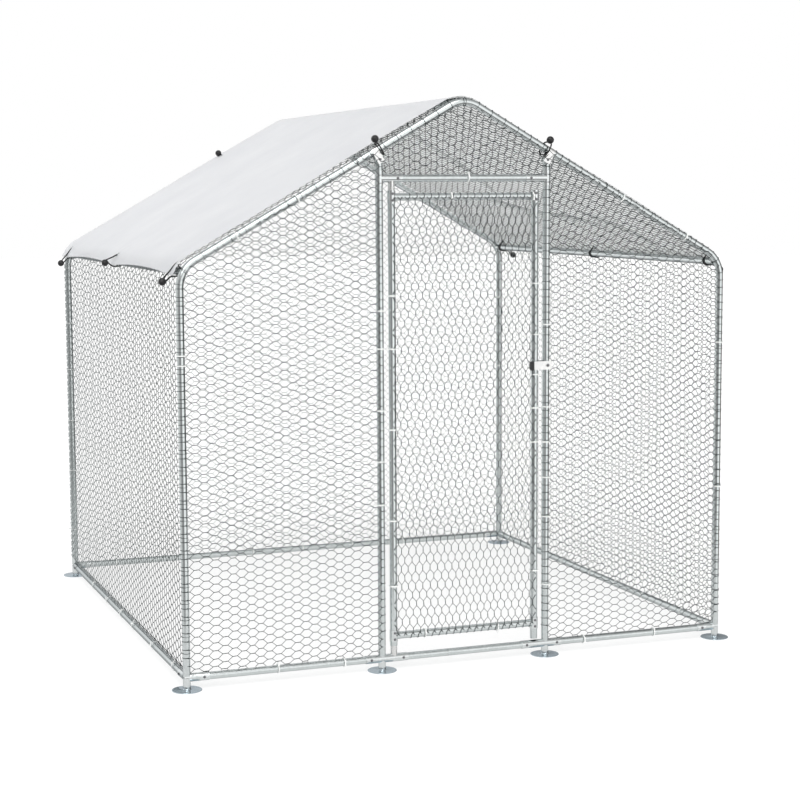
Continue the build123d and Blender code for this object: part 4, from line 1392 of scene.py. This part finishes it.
shot = {"place": (-2.389, -6.774, 1.625), "yaw": 20.42, "pitch": -6.45, "roll": -0.30, "focalPixels": 1841.9,
        "imagePixels": 800, "sensor": 36.0}
studio = {"floor": 40.0, "nearFloor": 2.3, "floorHole": 0.001, "floorSides": 64, "floorTone": 0.35,
          "floorGlow": 0.7, "mirroredGlow": 0.45, "sun": 1.6, "sunSpread": 60.0, "sunTilt": (38, -22),
          # above and below the ring: tone on matt faces, tone in what the tubes mirror, where it blends in
          "sky": (0.85, 0.45, 0.25, 0.75), "ground": (0.7, 0.2, -0.2, -0.6),
          # tones round the run by their bearing from the camera's side, left to right, in degrees
          "ring": ((-180, 1.0), (-140, 1.35), (-60, 0.55), (-15, 0.27), (8, 0.27), (26, 1.2), (66, 1.2),
                   (92, 0.3), (120, 0.06), (160, 0.06), (180, 1.0))}
yaw, pitch, roll = (math.radians(shot[key]) for key in ("yaw", "pitch", "roll"))
forward = Vector((math.sin(yaw) * math.cos(pitch), math.cos(yaw) * math.cos(pitch), math.sin(pitch)))
level = Vector((math.cos(yaw), -math.sin(yaw), 0))
up = level.cross(forward)
right = level * math.cos(roll) + up * math.sin(roll)
above = up * math.cos(roll) - level * math.sin(roll)
white = (1, 1, 1, 1)


def grey(tone):
    return tone, tone, tone, 1


floorMaterial, tree = newMaterial("floorWhite")
mirrored = addNode(tree, "ShaderNodeLightPath").outputs["Is Glossy Ray"]
setInputs(tree, tree.nodes["Principled BSDF"], {
    "Base Color": grey(studio["floorTone"]), "Roughness": 0.9, "Specular IOR Level": 0.0,
    "Emission Color": white,
    "Emission Strength": rangeOf(tree, mirrored, studio["floorGlow"], studio["mirroredGlow"])})


def floorPart(name, inner, outer):
    # a flat ring on the floor
    count = studio["floorSides"]
    around = [Vector((math.cos(a), math.sin(a), 0)) for a in (2 * math.pi * k / count for k in range(count))]
    faces = [(k, count + k, count + (k + 1) % count, (k + 1) % count) for k in range(count)]
    mesh = newMesh(name, [out * inner for out in around] + [out * outer for out in around], faces=faces)
    mesh.materials.append(floorMaterial)
    return linkObject(name, mesh)


nearFloor = floorPart("nearFloor", studio["floorHole"], studio["nearFloor"])
farFloor = floorPart("farFloor", studio["nearFloor"], studio["floor"])
farFloor.visible_glossy = False  # high on the tubes only the studio is mirrored, low down the pale floor

world = bpy.data.worlds.new("studio")
bpy.context.scene.world = world
world.use_nodes = True
tree = world.node_tree
direction = addNode(tree, "ShaderNodeTexCoord").outputs["Generated"]
# a grey ring with a bright panel right of the camera, so that round tubes show a bright line and clean edges
flatForward = Vector((forward.x, forward.y, 0)).normalized()
shares = [addNode(tree, "ShaderNodeVectorMath", {0: direction, 1: aim}, operation="DOT_PRODUCT")
          for aim in (level, -flatForward)]
angle = mathOf(tree, "ARCTAN2", *[share.outputs["Value"] for share in shares])
bearing = rangeOf(tree, angle, 0.0, 1.0, fromLow=-math.pi, fromHigh=math.pi)
ring = addNode(tree, "ShaderNodeValToRGB", {0: bearing})
stops = ring.color_ramp.elements
for k, (degrees, tone) in enumerate(studio["ring"]):
    share = (degrees + 180) / 360
    stop = stops[k] if k < 2 else stops.new(share)  # a new ramp has two stops
    stop.position, stop.color = share, grey(tone)
lit = ring.outputs["Color"]
seen = addNode(tree, "ShaderNodeLightPath").outputs
height = partOf(tree, direction, "Z")
for place in ("sky", "ground"):
    matt, mirrored, low, high = studio[place]
    away = blendColours(tree, seen["Is Glossy Ray"], grey(matt), grey(mirrored))
    lit = blendColours(tree, rangeOf(tree, height, 0.0, 1.0, low, high), lit, away)
setInputs(tree, tree.nodes["Background"], {"Color": blendColours(tree, seen["Is Camera Ray"], lit, white)})

sunData = bpy.data.lights.new("softSun", "SUN")
sunData.energy, sunData.angle = studio["sun"], math.radians(studio["sunSpread"])
sun = linkObject("softSun", sunData)
sun.rotation_euler = (*[math.radians(degrees) for degrees in studio["sunTilt"]], 0)

cameraData = bpy.data.cameras.new("photoCamera")
cameraData.sensor_width = shot["sensor"]
cameraData.lens = shot["focalPixels"] / shot["imagePixels"] * shot["sensor"]
camera = linkObject("photoCamera", cameraData)
turn = Matrix((right, above, -forward)).transposed().to_4x4()
camera.matrix_world = Matrix.Translation(Vector(shot["place"])) @ turn
bpy.context.scene.camera = camera
bpy.context.scene.view_settings.view_transform = "Standard"

bpy.context.view_layer.update()
